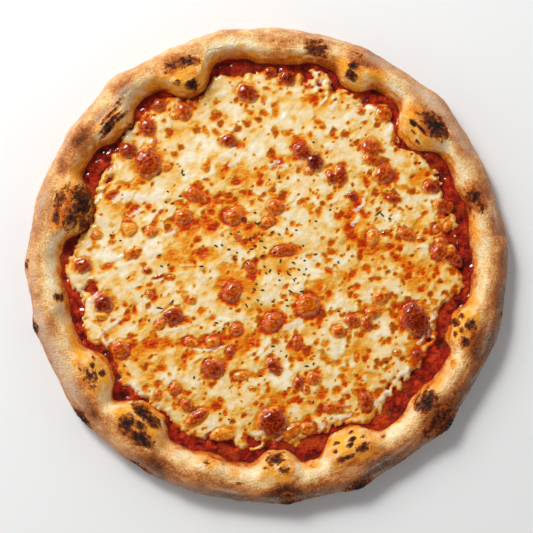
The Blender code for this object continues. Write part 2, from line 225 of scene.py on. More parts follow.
# Small toasted spots that stand out: x, y, radius.
SPOTS = (
    (-65, 86, 2.2), (-57.5, 77, 1.8), (-62, 71.5, 1.8), (-47, 88, 2.2), (-33, 98, 2.6),
    (-31, 93, 2.4), (-103, 44.5, 2.4), (-106, 64, 2.6), (3, 73, 2.2), (5, 105, 2.4),
    (6.5, 101, 2.2), (14, 86, 2.4), (5, 90, 1.8), (-13.5, 92, 1.8), (-5, 95, 1.8), (37, 90, 1.8),
    (44, 88, 1.8), (60, 78.5, 1.8), (97, 46.5, 2.6), (74, 92, 2.2), (80, 67.5, 2.2), (52, 85, 2.4),
)

# Bare places near the cheese's edge where sauce shows between melted strands: x, y, half width.
BARE_PLACES = (
    (27, 125, 4), (35, 118, 3), (88, 103, 4), (93, 97, 3), (84, -86, 3), (92, -80, 3.5),
    (-107, 54, 3), (-90, -87, 3), (-8, -121, 3), (107, -52, 3), (118, 30, 2.5),
    (-117, -16, 3.5), (122, 16, 2.5), (47, 118, 3),
)

# Burnt spots of the crust: angle, radius, half length round the rim, half width across it, and
# how black.
CHAR = (
    (39, 145, 9, 4.6, 1.0), (43.5, 135, 2.3, 1.7, 0.9), (40.5, 136.5, 3.4, 1.1, 0.9),
    (41.5, 131, 1.7, 1.1, 0.6), (45, 141.5, 2, 0.9, 0.6), (38.5, 129, 2, 1, 0.5),
    (17.3, 144.5, 4.4, 4, 0.9), (15.3, 147, 5, 3.2, 0.78), (77, 148, 6, 4.5, 0.8),
    (65.5, 138, 3.2, 2.6, 0.9), (66, 145, 3.2, 2.3, 0.85), (66, 151, 3.4, 2.2, 0.55),
    (113, 129.5, 3.4, 3, 0.95),
    (116.5, 135, 2.2, 1.7, 0.7), (112, 146, 6.5, 2.6, 0.75), (116, 147.5, 5, 2.6, 0.6),
    (109.5, 143, 3, 2, 0.55), (138.5, 141, 7, 1.1, 0.9), (136.5, 144.5, 6.5, 0.9, 0.85),
    (140.5, 138.5, 6, 1.1, 0.9), (135, 138, 5, 1.4, 0.6), (132.5, 147, 5, 0.9, 0.6),
    (136.5, 128.5, 4, 3, 0.6), (163, 129, 9, 5.5, 0.95), (167.5, 134, 7, 5, 0.75),
    (160.5, 133, 5, 4.5, 0.8), (168.5, 124.5, 4, 3, 0.7), (163, 144, 5, 2.6, 0.8),
    (168, 143, 4, 2.2, 0.65), (160, 142, 4, 2, 0.5), (190, 140, 2.2, 2.8, 0.8),
    (214.5, 131.5, 1.8, 1.5, 1.0), (213, 139, 5, 3.6, 0.62), (211, 134, 2.2, 1.6, 0.6),
    (216, 141, 2.2, 2, 0.6), (209.5, 131, 1.6, 1, 0.5), (230.4, 128.5, 5.5, 2.8, 1.0),
    (234, 129.5, 5.5, 2.8, 1.0), (229.3, 141.3, 4.5, 4.5, 0.95), (235, 143, 6.5, 3.2, 1.0),
    (232.5, 136.5, 4.5, 2.4, 0.75), (253.5, 138, 2.2, 1.8, 0.5), (263, 146.5, 2.2, 1.8, 0.4),
    (272.2, 130, 4.2, 3, 0.9), (273.8, 126.4, 3, 1, 0.6), (274.5, 137.5, 3.2, 2.2, 0.6),
    (270, 136, 3, 2, 0.4), (275, 154, 3.4, 1.6, 0.75), (275.5, 159.5, 5, 2.2, 1.0),
    (282.5, 137.5, 2.2, 1.6, 0.35), (292, 159.5, 8, 2.4, 1.0), (297, 138.5, 2.4, 1.5, 0.9),
    (292.5, 139.5, 2.6, 1.3, 0.9), (290.3, 139, 2, 1.4, 0.9), (294, 132.5, 2.2, 1.1, 0.9),
    (295.3, 130, 2.2, 1.1, 0.85), (296.9, 137, 3.2, 1.6, 0.9), (291, 128.5, 1.8, 1, 0.7),
    (289.5, 133, 1.6, 1, 0.7), (296, 125.5, 1.8, 1, 0.7), (298.5, 131.5, 1.6, 1, 0.7),
    (303.5, 138, 2.4, 1.6, 0.3), (318.5, 140, 6, 4.8, 1.0), (315.8, 136.8, 3, 1.1, 0.7),
    (317, 154, 11, 3.5, 0.8), (317.5, 160, 8, 3, 1.0), (331, 140, 2.2, 1.6, 0.3),
    (342.6, 141, 3, 2.6, 0.8), (337.5, 141, 3, 2.4, 0.8), (341.7, 130.6, 2, 3, 0.85),
    (340.5, 136, 2, 1.4, 0.7), (338.5, 133, 1.8, 1.4, 0.6), (344, 134, 1.6, 1.6, 0.7),
    (347, 159, 2.4, 1.4, 0.6), (196, 160.5, 4.5, 2, 1.0), (220.5, 160, 6, 2.4, 1.0),
    (238, 159, 9, 1.4, 0.7), (181, 160, 4, 1.6, 0.55), (305, 158.5, 7, 1.6, 0.6),
)

# Soft brown places: the same, with how brown.
BROWN = (
    (77, 148, 8, 6, 1.1), (87, 145, 13, 7, 0.75), (86.5, 140.5, 9, 2, 0.6), (72, 145.5, 2, 2, 0.6),
    (147.5, 148, 13, 7, 1.15), (130, 153, 8, 4, 0.5), (41, 144, 14, 8, 0.7), (165, 142, 14, 6, 0.6),
    (113, 146, 12, 5, 0.6), (318, 150, 15, 8, 1.0), (338, 147, 12, 6, 0.8), (16.5, 146, 9, 7, 1.5),
    (65, 147, 7, 9, 0.6), (232, 146, 12, 5, 0.5), (52, 148, 12, 5, 0.05), (8, 152, 12, 3, 0.5),
    (241, 151, 14, 6, 0.9), (197, 147, 8, 5, 0.5), (256, 149, 12, 4, 0.5), (31, 149, 11, 5, 0.7),
    (275, 152, 13, 6, 0.95), (222, 152, 11, 5, 0.7), (181, 150, 10, 5, 0.1), (154, 150, 8, 5, 0.7),
    (300, 151, 12, 5, 0.6), (138, 144, 9, 4, 0.6), (0, 150, 14, 4, 0.05), (170, 153, 9, 3, 0.4),
)

# Golden places where oil soaked into the rim: the same, with how golden.
GOLD = (
    (60, 146, 10, 8, 1.0), (69, 142, 16, 6, 0.9), (300, 137, 8, 5, 0.8), (8, 139, 16, 5, 0.8),
    (262, 141, 4, 6, 0.6), (325, 138, 16, 4, 0.8), (240, 138, 9, 5, 0.7), (282, 137, 7, 3, 0.9),
    (254, 137, 6, 4, 0.9), (155, 139, 12, 7, 0.9), (204, 138, 22, 4, 0.9), (19, 144, 6, 7, 0.7),
    (122, 143, 14, 6, 0.8), (190, 140, 8, 4, 0.7), (349, 138, 8, 5, 0.8), (331, 140, 4, 3, 0.9),
)

# Floury white places: the same, with how thick.
FLOUR = (
    (130, 149, 11, 4.5, 0.8), (177, 144.5, 5, 3, 0.7), (194, 140, 8, 2, 0.6), (101, 144, 10, 4, 0.55),
    (139, 149, 8, 2, 0.8), (34, 154, 26, 5, 0.7), (210, 154, 22, 5, 0.6), (205, 148, 14, 4, 0.4),
    (300, 152, 30, 4, 0.45), (260, 153, 22, 3, 0.5), (340, 154, 22, 4, 0.45), (13, 153, 20, 3, 0.5),
    (85, 156, 30, 2.5, 0.35), (206, 153, 26, 7, 0.9), (183, 156, 20, 4, 0.6),
    (165, 155, 22, 4, 0.7), (45, 155, 20, 5, 1.0), (60, 155, 16, 4, 0.8), (196, 156, 20, 5, 1.0),
    (212, 154, 18, 6, 0.9), (90, 157.5, 22, 2.5, 0.5), (75, 157.5, 14, 2.5, 0.5),
    (225, 156, 16, 4, 0.5), (48, 151, 10, 4, 0.4),
)

# Creases in the skin of the rim, floury along their lips: the same, with how deep.
CREASES = (
    (138, 147.5, 9, 1.0, 0.9), (131, 148, 7, 0.9, 0.8), (141, 141.5, 7, 1.0, 0.9), (134, 143, 6, 0.9, 0.7),
    (216.5, 155, 7, 0.8, 0.8), (330, 149.5, 10, 0.8, 0.7), (334, 147, 6, 0.7, 0.6), (260, 153, 9, 1.1, 0.9),
    (102, 147.5, 9, 0.9, 0.6), (96, 150.5, 8, 0.7, 0.5), (12, 155, 10, 0.9, 0.8), (74, 156.5, 9, 0.8, 0.6),
    (344, 152, 7, 0.8, 0.6), (247, 152, 6, 0.9, 0.5), (306, 151, 8, 0.8, 0.5), (52, 153.5, 8, 0.7, 0.5),
)

# Dried herb and pepper flecks on the cheese: x, y, length, and the angle they lie at.
FLECKS = (
    (74, 32, 5.2, 40), (76.5, 31, 3, -50), (-7, 25, 3.6, -40), (-5.5, 25.5, 2, 20), (3.5, 19.4, 2.2, 10),
    (8, 17.8, 1.8, -30), (-8, 32.3, 1.8, 0), (-19, 19.4, 1.6, 20), (-24, 18.3, 1.6, 0),
    (-10.5, 8, 2.6, 10), (-8, 10.2, 1.6, 0), (-34, 10, 2.6, -30), (-30, 10.6, 1.5, 0),
    (-25.5, 7.8, 2.4, 10), (-20, 5.6, 1.2, 0), (-21.3, 1.2, 1.4, 0), (-7.3, 0.8, 1.8, 0),
    (-1.7, -3.7, 1.6, -60), (-0.6, -8.2, 1.8, -50), (1.8, -6.5, 2.4, 60), (7.5, -8.4, 1.3, 0),
    (13.5, -7.5, 2, -70), (14.8, -9, 2.2, -20), (17.2, -1, 1.9, 0), (24.8, 0.3, 1.6, 20),
    (32, 4.5, 2.4, 20), (21, -5.7, 2, -20), (25.8, -5.4, 1.4, 60), (24.6, -8.9, 1.8, -10),
    (18.8, -11.7, 1.3, 0), (17.8, -12.8, 1.8, -60), (8.1, -12.7, 1.4, 0), (-7.2, -15.3, 1.5, 0),
    (-3, -19.4, 2.2, 5), (-8.5, -18.8, 2.2, -15), (15.5, -20.2, 3, -30), (23, -20.3, 3, 10),
    (-6.2, -26, 1.7, -20), (3.8, -27, 1.8, 0), (12.8, -26, 1.8, 20), (13.3, -29.8, 1.7, 0),
    (-13.7, -29.6, 3, -60), (-4, -28.8, 1.1, 0), (8.8, 0.1, 2.6, 80), (5, 5.7, 2.6, 20),
    (-13, -2.2, 3, -50), (-4, 13.4, 2.4, 0), (-3.5, 17.6, 1.8, 60), (-11.5, 14.5, 2.2, 80),
    (-9, 15.5, 1.6, 80), (-1.5, 9, 2.4, -30), (-3.2, 3.6, 2.6, 20), (19.3, 20.6, 1.6, 0),
    (13.1, 21.6, 1.2, 0), (24, 10.3, 1.3, 60), (-33.5, -41, 2.4, -5), (-31.8, -47.4, 1.8, 50),
    (-29, -45, 1.2, 0), (3.8, -56.5, 2.2, 5), (-4.5, -76, 2.6, 5), (8, 56.4, 2.2, 80),
    (1.5, 54.6, 1.2, 0), (-63.3, 38.6, 2.2, 20), (-66.3, 46.6, 1.6, -30), (-56.8, 60, 2.8, 80),
    (-55.8, 58, 1.8, 20), (-67.5, 39.5, 1.6, 0), (-58, 43.5, 2, 0), (42, 34.3, 1.6, 60),
    (47.2, -0.8, 1.8, -60), (47.3, -33.4, 1.6, 0), (81.5, 28.4, 1.9, 0), (102, 66, 1.8, 40),
    (78.5, -66.8, 2, 60), (31, 80, 1.5, 0), (30.2, -93, 1.8, 80), (-43.5, -3.6, 2.8, 0),
    (-71.5, 3.8, 2.4, 20), (-70, -3.4, 1.8, -10), (-65.5, -2.6, 1.7, 50), (-62.5, -26.8, 2.2, 70),
    (-71, -31.3, 4, -8), (-31, -100.5, 1.4, 0), (-25, -104.3, 1.2, 0), (30.5, -68, 1.8, 70),
    (26, -69.5, 2.6, 0), (12.6, -63, 2, 60), (32.5, 26.6, 1.7, 0), (-97.5, 13.6, 1.6, 10),
    (-104, 17.4, 1.5, -20), (-48, -77, 1.8, 80), (-78, -39.5, 1.6, 80),
)


# --- Sums that shape the pieces ---


def cell_random(cells, seed):
    """A random number from 0 to 1 for each whole-number cell, always the same."""
    mixed = cells[..., 0] * 73856093 ^ cells[..., 1] * 19349663 ^ cells[..., 2] * 83492791
    mixed = (mixed ^ (seed * 2654435761)) & 0xFFFFFFFF
    mixed = ((mixed ^ (mixed >> 15)) * 2246822519) & 0xFFFFFFFF
    mixed = ((mixed ^ (mixed >> 13)) * 3266489917) & 0xFFFFFFFF
    return ((mixed ^ (mixed >> 16)) & 0xFFFFFF) / 0xFFFFFF


def noise(points, size, seed, octaves=1):
    """Smooth noise from -1 to 1 with bumps about size across, and finer ones in each octave."""
    total = 0.0
    weights = 0.0
    for octave in range(octaves):
        scaled = points / (size / 2**octave)
        cells = np.floor(scaled).astype(np.int64)
        part = scaled - cells
        fade = part**3 * (part * (part * 6 - 15) + 10)
        value = 0.0
        for corner in itertools.product((0, 1), repeat=3):
            share = np.prod(np.where(np.array(corner) == 1, fade, 1 - fade), axis=-1)
            value = value + share * cell_random(cells + np.array(corner), seed + 31 * octave)
        total = total + 0.5**octave * (2 * value - 1)
        weights += 0.5**octave
    return total / weights


def smooth_step(value, low, high):
    """0 below low, 1 above high, and a smooth climb between."""
    share = np.clip((value - low) / (high - low), 0, 1)
    return share * share * (3 - 2 * share)


def turn_between(angle, middle):
    """The turn from a middle, in degrees, to an angle in radians, between half a turn each way."""
    return np.angle(np.exp(1j * (angle - math.radians(middle))))


def wave_sum(angle, waves, power=2):
    """The push of a table of bulges at each angle; a higher power gives steeper sides."""
    push = np.zeros_like(angle)
    for middle, height, half_width in waves:
        share = np.abs(turn_between(angle, middle) / math.radians(half_width))
        push += height * np.exp(-(share**power))
    return push


def blister_sum(angle, column):
    """The push of the blisters at each angle, by their reach or their lift."""
    rows = [(row[0], row[column], row[1]) for row in BLISTERS]
    return wave_sum(angle, rows, power=4)


def blister_sides(angle):
    """The creases where each blister meets its neighbours, in millimetres of depth."""
    depth = np.zeros_like(angle)
    for middle, half_width, _, lift in BLISTERS:
        share = np.abs(turn_between(angle, middle) / math.radians(half_width))
        depth += 0.20 * lift * np.exp(-(((share - 1.22) / 0.20) ** 2))
    return depth


def outer_radius(angle):
    """The crust's outer edge."""
    return RIM_RADIUS + wave_sum(angle, EDGE_BULGES)


def sauce_radius(angle):
    """The line where the sauce meets the rim."""
    shifted = SAUCE_RADIUS + SAUCE_SHIFT * np.cos(angle - SAUCE_SHIFT_ANGLE)
    return shifted + wave_sum(angle, SAUCE_WAVES) - blister_sum(angle, REACH)


def cheese_radius(angle):
    """The cheese's edge, before it is made ragged."""
    lobed = CHEESE_RADIUS + wave_sum(angle, CHEESE_LOBES)
    return np.minimum(lobed, sauce_radius(angle) - CHEESE_GAP)


def rim_height(angle):
    """The height of the rim's highest line."""
    swell = sum(height * np.cos(count * angle + phase) for count, height, phase in RIM_SWELLS)
    return RIM_HEIGHT + swell + 0.3 * blister_sum(angle, LIFT)


def oval_share(x, y, middle_x, middle_y, long_half, short_half, slant):
    """How far points lie from an oval's middle: 0 there, 1 on its edge."""
    turn = math.radians(slant)
    along = ((x - middle_x) * math.cos(turn) + (y - middle_y) * math.sin(turn)) / long_half
    across = ((y - middle_y) * math.cos(turn) - (x - middle_x) * math.sin(turn)) / short_half
    return np.hypot(along, across)


def rim_marks(seen, rows, wander, softness=1.6):
    """The strength of a table of marks on the rim: its row's strength in each middle, and
    nothing from softness times its size outwards."""
    angle, radius = seen
    strength = np.zeros_like(radius)
    for middle, ring, half_round, half_across, most in rows:
        round_share = turn_between(angle, middle) * ring / half_round
        share = np.hypot(round_share, (radius - ring) / half_across) * (1 + 0.3 * wander)
        strength = np.maximum(strength, most * np.clip(1 - share / softness, 0, 1))
    return strength


def seen_from_eye(points):
    """The angle and radius at which points show, drawn along the sight line to the cheese."""
    from_target = from_angles(CAMERA_AZIMUTH, CAMERA_ELEVATION, CAMERA_DISTANCE / MM)
    eye = np.array(CAMERA_TARGET) / MM + np.array(from_target)
    share = (CHEESE_LEVEL - eye[2]) / (points[..., 2:] - eye[2])
    shown = eye + (points - eye) * share
    return np.arctan2(shown[..., 1], shown[..., 0]), np.hypot(shown[..., 0], shown[..., 1])


def from_angles(azimuth, elevation, distance):
    """A place at a distance from the origin, seen at an azimuth and elevation in degrees."""
    side = math.cos(math.radians(elevation)) * distance
    return (
        side * math.cos(math.radians(azimuth)),
        side * math.sin(math.radians(azimuth)),
        math.sin(math.radians(elevation)) * distance,
    )


# --- Meshes ---


def piece_from(name, points, faces, marks):
    """A mesh object from points in millimetres, with a colour attribute for each set of marks.
    A set holds up to four marks, and a channel without one stays 1."""
    mesh = bpy.data.meshes.new(name)
    mesh.from_pydata((points * MM).tolist(), [], faces)
    for mark_name, columns in marks.items():
        values = np.ones((len(points), 4), dtype=np.float32)
        for channel, column in enumerate(columns):
            values[:, channel] = np.ravel(column)
        attribute = mesh.attributes.new(mark_name, "FLOAT_COLOR", "POINT")
        attribute.data.foreach_set("color", values.ravel())
    mesh.shade_smooth()
    piece = bpy.data.objects.new(name, mesh)
    bpy.context.scene.collection.objects.link(piece)
    return piece


def ring_faces(rows, columns):
    """Faces of a closed shape: quads between rows of points that each run once round, and a cap
    on the first row and on the last."""
    row, column = np.meshgrid(np.arange(rows - 1), np.arange(columns), indexing="ij")
    after = (column + 1) % columns
    here = row * columns
    above = here + columns
    quads = np.stack([here + column, here + after, above + after, above + column], axis=-1)
    faces = quads.reshape(-1, 4).tolist()
    faces.append(list(range(columns)))
    faces.append(list(range((rows - 1) * columns, rows * columns)))
    return faces


def face_outwards(piece):
    """Turns a closed mesh's faces so that they all point out."""
    builder = bmesh.new()
    builder.from_mesh(piece.data)
    bmesh.ops.recalc_face_normals(builder, faces=builder.faces)
    builder.to_mesh(piece.data)
    builder.free()


def surface_normals(points):
    """Unit normals of a grid of points whose second axis runs round."""
    along = np.gradient(points, axis=0)
    around = np.roll(points, -1, axis=1) - np.roll(points, 1, axis=1)
    normal = np.cross(around, along)
    return normal / np.maximum(np.linalg.norm(normal, axis=-1, keepdims=True), 1e-9)


# --- The crust ---

CRUST_COLUMNS = 960  # points once round
FOOT_ROWS = 14  # rows from the underside up to the rim's widest line
SHOULDER_ROWS = 26  # from there to its highest line
INNER_ROWS = 48  # from there down to the sauce
BASE_RADIUS = 112  # of the flat dough that the sauce hides

# The sides of the pizza where painted light makes the outer side paler, where painted shade makes
# the outer ring darker, and where the oily band is widened into painted shade on the inner wall.
PAINTED_LIGHT_SIDE = math.radians(118)
PAINTED_SHADE_SIDE = math.radians(305)
OILY_AND_SHADED_SIDE = math.radians(128)


def crust_grid(angle):
    """The radius and height of the dough's rows, from the underside's middle out, up over the
    rim and down to the base."""
    around = np.stack([np.cos(angle), np.sin(angle), np.zeros_like(angle)], axis=-1) * RIM_MIDDLE
    outer = outer_radius(angle) + 0.35 * noise(around, 9, SEED + 1, 2)
    inner = sauce_radius(angle) - 2.2 + 0.5 * noise(around, 6, SEED + 2, 2)
    inset = CREST_INSET + 1.6 * noise(around, 30, SEED + 3)
    crest = outer - inset
    top = rim_height(angle) + 0.5 * noise(around, 16, SEED + 4)
    lift = 0.9 * blister_sum(angle, LIFT) - blister_sides(angle)
    fullness = 1.45 + 0.34 * blister_sum(angle, LIFT)
    radii = [np.full_like(angle, 40), np.full_like(angle, 110)]
    heights = [np.zeros_like(angle), np.zeros_like(angle)]
    for turn in np.linspace(0, math.pi / 2, FOOT_ROWS):
        radii.append(outer - FOOT_INSET * (1 - math.sin(turn)))
        heights.append(np.full_like(angle, BELLY_HEIGHT * (1 - math.cos(turn))))
    for turn in np.linspace(0, math.pi / 2, SHOULDER_ROWS)[1:]:
        radii.append(crest + inset * math.cos(turn))
        heights.append(BELLY_HEIGHT + (top - BELLY_HEIGHT) * math.sin(turn))
    for share in np.linspace(0, 1, INNER_ROWS)[1:]:
        fall = (1 + np.cos(math.pi * share**fullness)) / 2
        bulge = lift * math.sin(math.pi * share) ** 0.8
        radii.append(crest + (inner - crest) * share)
        heights.append(DOUGH_TOP + (top - DOUGH_TOP) * fall + bulge)
    radii.append(np.full_like(angle, 60))
    heights.append(np.full_like(angle, DOUGH_TOP))
    return np.stack(radii), np.stack(heights)


def crust_relief(points, along_rim, streaks, char, crease, blistered):
    """Lumps, streaks, creases and crackled burnt skin, in millimetres out of the surface."""
    relief = 0.50 * noise(points, 15, SEED + 7) + 0.42 * noise(points, 6, SEED + 8, 2)
    relief = relief + 0.20 * streaks + 0.12 * noise(points, 1.6, SEED + 9) - 0.9 * crease
    relief = relief + blistered * 0.35 * noise(along_rim, 3.0, SEED + 11, 2)
    burnt = smooth_step(char, 0.35, 0.6)
    return relief + burnt * (0.35 * noise(points, 1.7, SEED + 10) - 0.15)


def toasting_with_shading(points, along_rim, place, streaks, brown, crease, blistered, wander):
    """How far the dough is toasted, from 0 where raw to 1 where dark brown, with painted light on the
    side that faces the lamps and painted shade on the far outer ring and at the rim's foot.
    """
    angle, radius, height, shown_radius, inward, side = place
    underside = (1 - smooth_step(height, 0.5, 8)) * (radius > 100)
    slope = np.clip(1 - np.abs(inward - 5) / 9, 0, 1)
    toast_and_shading = 0.36 + 0.20 * noise(points, 12, SEED + 12, 2) + 0.10 * noise(points, 3.5, SEED + 13, 2)
    toast_and_shading = toast_and_shading - 0.30 * slope + 0.16 * side + 0.22 * underside + (0.08 + 0.16 * side) * streaks
    # Sauce stain and painted shade: the foot of the rim, where it meets the sauce, is made darker.
    foot_stain_and_shade = (1 - smooth_step(inward + 1.5 * wander, 0.5, 3.5)) * (radius > BASE_RADIUS)
    toast_and_shading = toast_and_shading + 0.22 * foot_stain_and_shade
    toast_and_shading = toast_and_shading + 0.46 * brown - 0.12 * crease
    toast_and_shading = toast_and_shading + blistered * (0.40 * noise(along_rim, 3.4, SEED + 14, 2) - 0.17)
    # Painted light: the outer side that faces the lamps is made paler.
    toast_and_shading = toast_and_shading - 0.16 * smooth_step(np.cos(angle - PAINTED_LIGHT_SIDE), 0.5, 1) * side
    # Painted shade: the outer ring on the side away from the lamps is made darker.
    front = smooth_step(np.cos(angle - PAINTED_SHADE_SIDE), 0.2, 0.9)
    outwards = 0.18 * smooth_step(shown_radius, 145, 152) + 0.18 * smooth_step(shown_radius, 152, 157)
    return toast_and_shading + front * outwards


def oil_gold_and_shade(points, place, seen, blistered, wander):
    """How golden oil made the dough: by the sauce, on the blisters and where the table says, with
    the band by the sauce widened into painted shade on the inner wall that faces away from the lamps.
    """
    angle, radius, _, _, inward, _ = place
    # Painted shade: the golden band by the sauce is wider on the inner wall that faces away from the lamps.
    width = 3.9 + 3 * smooth_step(np.cos(angle - OILY_AND_SHADED_SIDE), 0.3, 0.95)
    gold_and_shade = np.clip(1.1 - (inward + 3 * wander) / width, 0, 1) * smooth_step(radius, BASE_RADIUS, 122)
    gold_and_shade = gold_and_shade * (0.80 + 0.5 * noise(points, 14, SEED + 15, 2))
    gold_and_shade = np.maximum(gold_and_shade, blistered * (0.72 + 0.5 * wander) * smooth_step(inward, -1, 4))
    return np.maximum(gold_and_shade, rim_marks(seen, GOLD, wander, softness=1.6))


def make_crust():
    """The dough: flat underside, puffed rim with blisters and creases, and the base."""
    angle = np.arange(CRUST_COLUMNS) / CRUST_COLUMNS * math.tau
    radius, height = crust_grid(angle)
    angle = np.broadcast_to(angle, radius.shape)
    points = np.stack([radius * np.cos(angle), radius * np.sin(angle), height], axis=-1)
    seen = seen_from_eye(points)
    wander = noise(points, 3.2, SEED + 5, 2)
    along_rim = np.stack([angle * RIM_MIDDLE / 3.0, radius, height], axis=-1)
    streaks = noise(along_rim, 1.7, SEED + 6, 3)
    char = rim_marks(seen, CHAR, wander, softness=2.1)
    char = char + (0.28 * streaks + 0.12 * wander) * smooth_step(char, 0.0, 0.3)
    brown = rim_marks(seen, BROWN, wander, softness=1.5)
    flour = rim_marks(seen, FLOUR, wander, softness=1.5)
    crease = rim_marks(seen, CREASES, 0 * wander, softness=1.5)
    blistered = np.clip(blister_sum(angle, LIFT) / 3, 0, 1) * (1 - smooth_step(seen[1], 143, 150))

    relief = crust_relief(points, along_rim, streaks, char, crease, blistered)
    rim = smooth_step(height, 0.2, 4) * smooth_step(radius, BASE_RADIUS, 122)
    points = points + surface_normals(points) * (relief * rim)[..., None]
    points[..., 2] = np.minimum(points[..., 2], CRUST_TOP)

    inward = radius - sauce_radius(angle)
    side = smooth_step(radius - outer_radius(angle), -10, -1)
    place = (angle, radius, height, seen[1], inward, side)
    toast_and_shading = toasting_with_shading(points, along_rim, place, streaks, brown, crease, blistered, wander)
    gold_and_shade = oil_gold_and_shade(points, place, seen, blistered, wander)
    flour_streaks = 0.30 * streaks * smooth_step(flour + side, 0.1, 0.6)
    flour = np.maximum(flour, 0.46 * side) + 0.35 * crease + flour_streaks
    flour = flour * smooth_step(height, 1.5, 4)
    faces = ring_faces(radius.shape[0], CRUST_COLUMNS)
    marks = {"bake": (toast_and_shading, char, gold_and_shade, flour)}
    crust = piece_from("baked_crust", points.reshape(-1, 3), faces, marks)
    face_outwards(crust)
    return crust


# --- The sauce ---

SAUCE_COLUMNS = 900  # points once round
SAUCE_ROWS = 42  # rows over the part that may show
BARE_SAUCE = 104  # the radius outside which the sauce may show


def sauce_relief(points):
    """The pulp of the sauce: its height over the flat level."""
    return 0.75 * noise(points, 5.5, SEED + 20, 2) + 0.55 * noise(points, 2.4, SEED + 21, 2)


def make_sauce():
    """Crushed tomato: a closed layer whose top is bare in a ring round the cheese."""
    angle = np.arange(SAUCE_COLUMNS) / SAUCE_COLUMNS * math.tau
    edge = sauce_radius(angle) + 3.0
    radii = [np.full_like(angle, 30), np.full_like(angle, 80)]
    radii += [BARE_SAUCE + (edge - BARE_SAUCE) * share for share in np.linspace(0, 1, SAUCE_ROWS)]
    radius = np.stack(radii)
    angle = np.broadcast_to(angle, radius.shape)
    top = np.stack([radius * np.cos(angle), radius * np.sin(angle), np.zeros_like(radius)], axis=-1)
    climb = 0.5 * smooth_step(radius - sauce_radius(angle), -2.5, 1.5)
    pulp = sauce_relief(top)
    top[..., 2] = SAUCE_TOP - 0.3 + pulp + climb
    below = top[-1:].copy()
    below[..., 2] = SAUCE_FLOOR
    points = np.concatenate([top, below])
    radius = np.concatenate([radius, radius[-1:]])
    pulp = np.concatenate([pulp, pulp[-1:]])
    oily = np.clip(0.5 + 0.7 * noise(points, 7, SEED + 23, 2), 0, 1)
    # Painted shade: the hollows of the pulp are marked to be drawn darker.
    hollow_shade = np.clip(0.5 - 0.9 * pulp, 0, 1)
    # Dried edge and painted shade: the sauce within 4 mm of the rim is marked to be drawn darker.
    dried_edge_and_shade = smooth_step(radius - sauce_radius(angle[:1]), -4, 0)
    faces = ring_faces(radius.shape[0], SAUCE_COLUMNS)
    marks = {"wet": (oily, dried_edge_and_shade, hollow_shade)}
    sauce = piece_from("crushed_tomato", points.reshape(-1, 3), faces, marks)
    face_outwards(sauce)
    return sauce


# --- The cheese ---

CHEESE_STEP = 0.76  # between the points of its square grid
GRID_REACH = 136  # from the middle to the side of the grid
SCATTER_REACH = 128  # from the middle to the side of the square where shreds and spots fall
CHEESE_BODY = 2.4  # the sheet's usual thickness
SINK = 1.9  # how far its edge goes down into the sauce
SLANT = 32  # in degrees, the way that most shreds lie
SHRED_COUNT = 900
SPOT_COUNT = 2300
DOME_FOOT = 0.375  # the nearness at the foot of a bubble

# The height and paleness of every strand in the table, whose pale colour is partly a painted
# highlight on its lit ridge, and the stretch, slant and darkness of every spot in the table.
STRAND_LOOK = (0.5, 1.2)
SPOT_LOOK = (1.2, 30, 0.9)


def window(axis, middle_x, middle_y, reach):
    """The part of a square grid within reach of a place: its two slices, and its x and y."""
    rows = slice(*np.searchsorted(axis, (middle_y - reach, middle_y + reach)))
    columns = slice(*np.searchsorted(axis, (middle_x - reach, middle_x + reach)))
    x, y = np.meshgrid(axis[columns], axis[rows])
    return (rows, columns), x, y


def keep_greater(part, value, strength, told, tells):
    """Where a value is over the strength so far, it is kept, and so is what it tells."""
    greater = value > strength[part]
    strength[part] = np.where(greater, value, strength[part])
    told[part] = np.where(greater, tells, told[part])


def melted_shreds(axis, random, wander):
    """Half-melted strands of grated cheese: their height, and how pale each one stayed, which on
    the listed strands is partly a painted highlight.
    """
    height = np.zeros((axis.size, axis.size))
    pale = np.zeros_like(height)
    shreds = [(*row, *STRAND_LOOK) for row in PALE_STRANDS_AND_GLINTS]
    for _ in range(SHRED_COUNT):
        middle_x, middle_y = random.uniform(-SCATTER_REACH, SCATTER_REACH, 2)
        half_length = random.uniform(1.0, 4.5)
        half_width = random.uniform(1.2, 2.0)
        tall = random.uniform(0.15, 0.6)
        paleness = np.clip(random.normal(0.25, 0.3), 0, 0.7)
        slant = random.normal(SLANT, 55)
        shreds.append((middle_x, middle_y, half_length, half_width, slant, tall, paleness))
    for middle_x, middle_y, half_length, half_width, degrees, tall, paleness in shreds:
        slant = math.radians(degrees)
        part, x, y = window(axis, middle_x, middle_y, half_length + 3)
        x = x - middle_x
        y = y - middle_y
        along = x * math.cos(slant) + y * math.sin(slant)
        bend = 0.06 * along * along * random.normal(0, 1) / 3
        across = y * math.cos(slant) - x * math.sin(slant) + bend
        beyond = np.maximum(np.abs(along) - half_length, 0)
        share = np.hypot(beyond, across) / half_width * (1 + 0.9 * wander[part])
        share = np.clip(1 - share**2, 0, 1)
        height[part] = np.maximum(height[part], tall * np.sqrt(share))
        pale[part] = np.maximum(pale[part], paleness * share)
    return height, pale


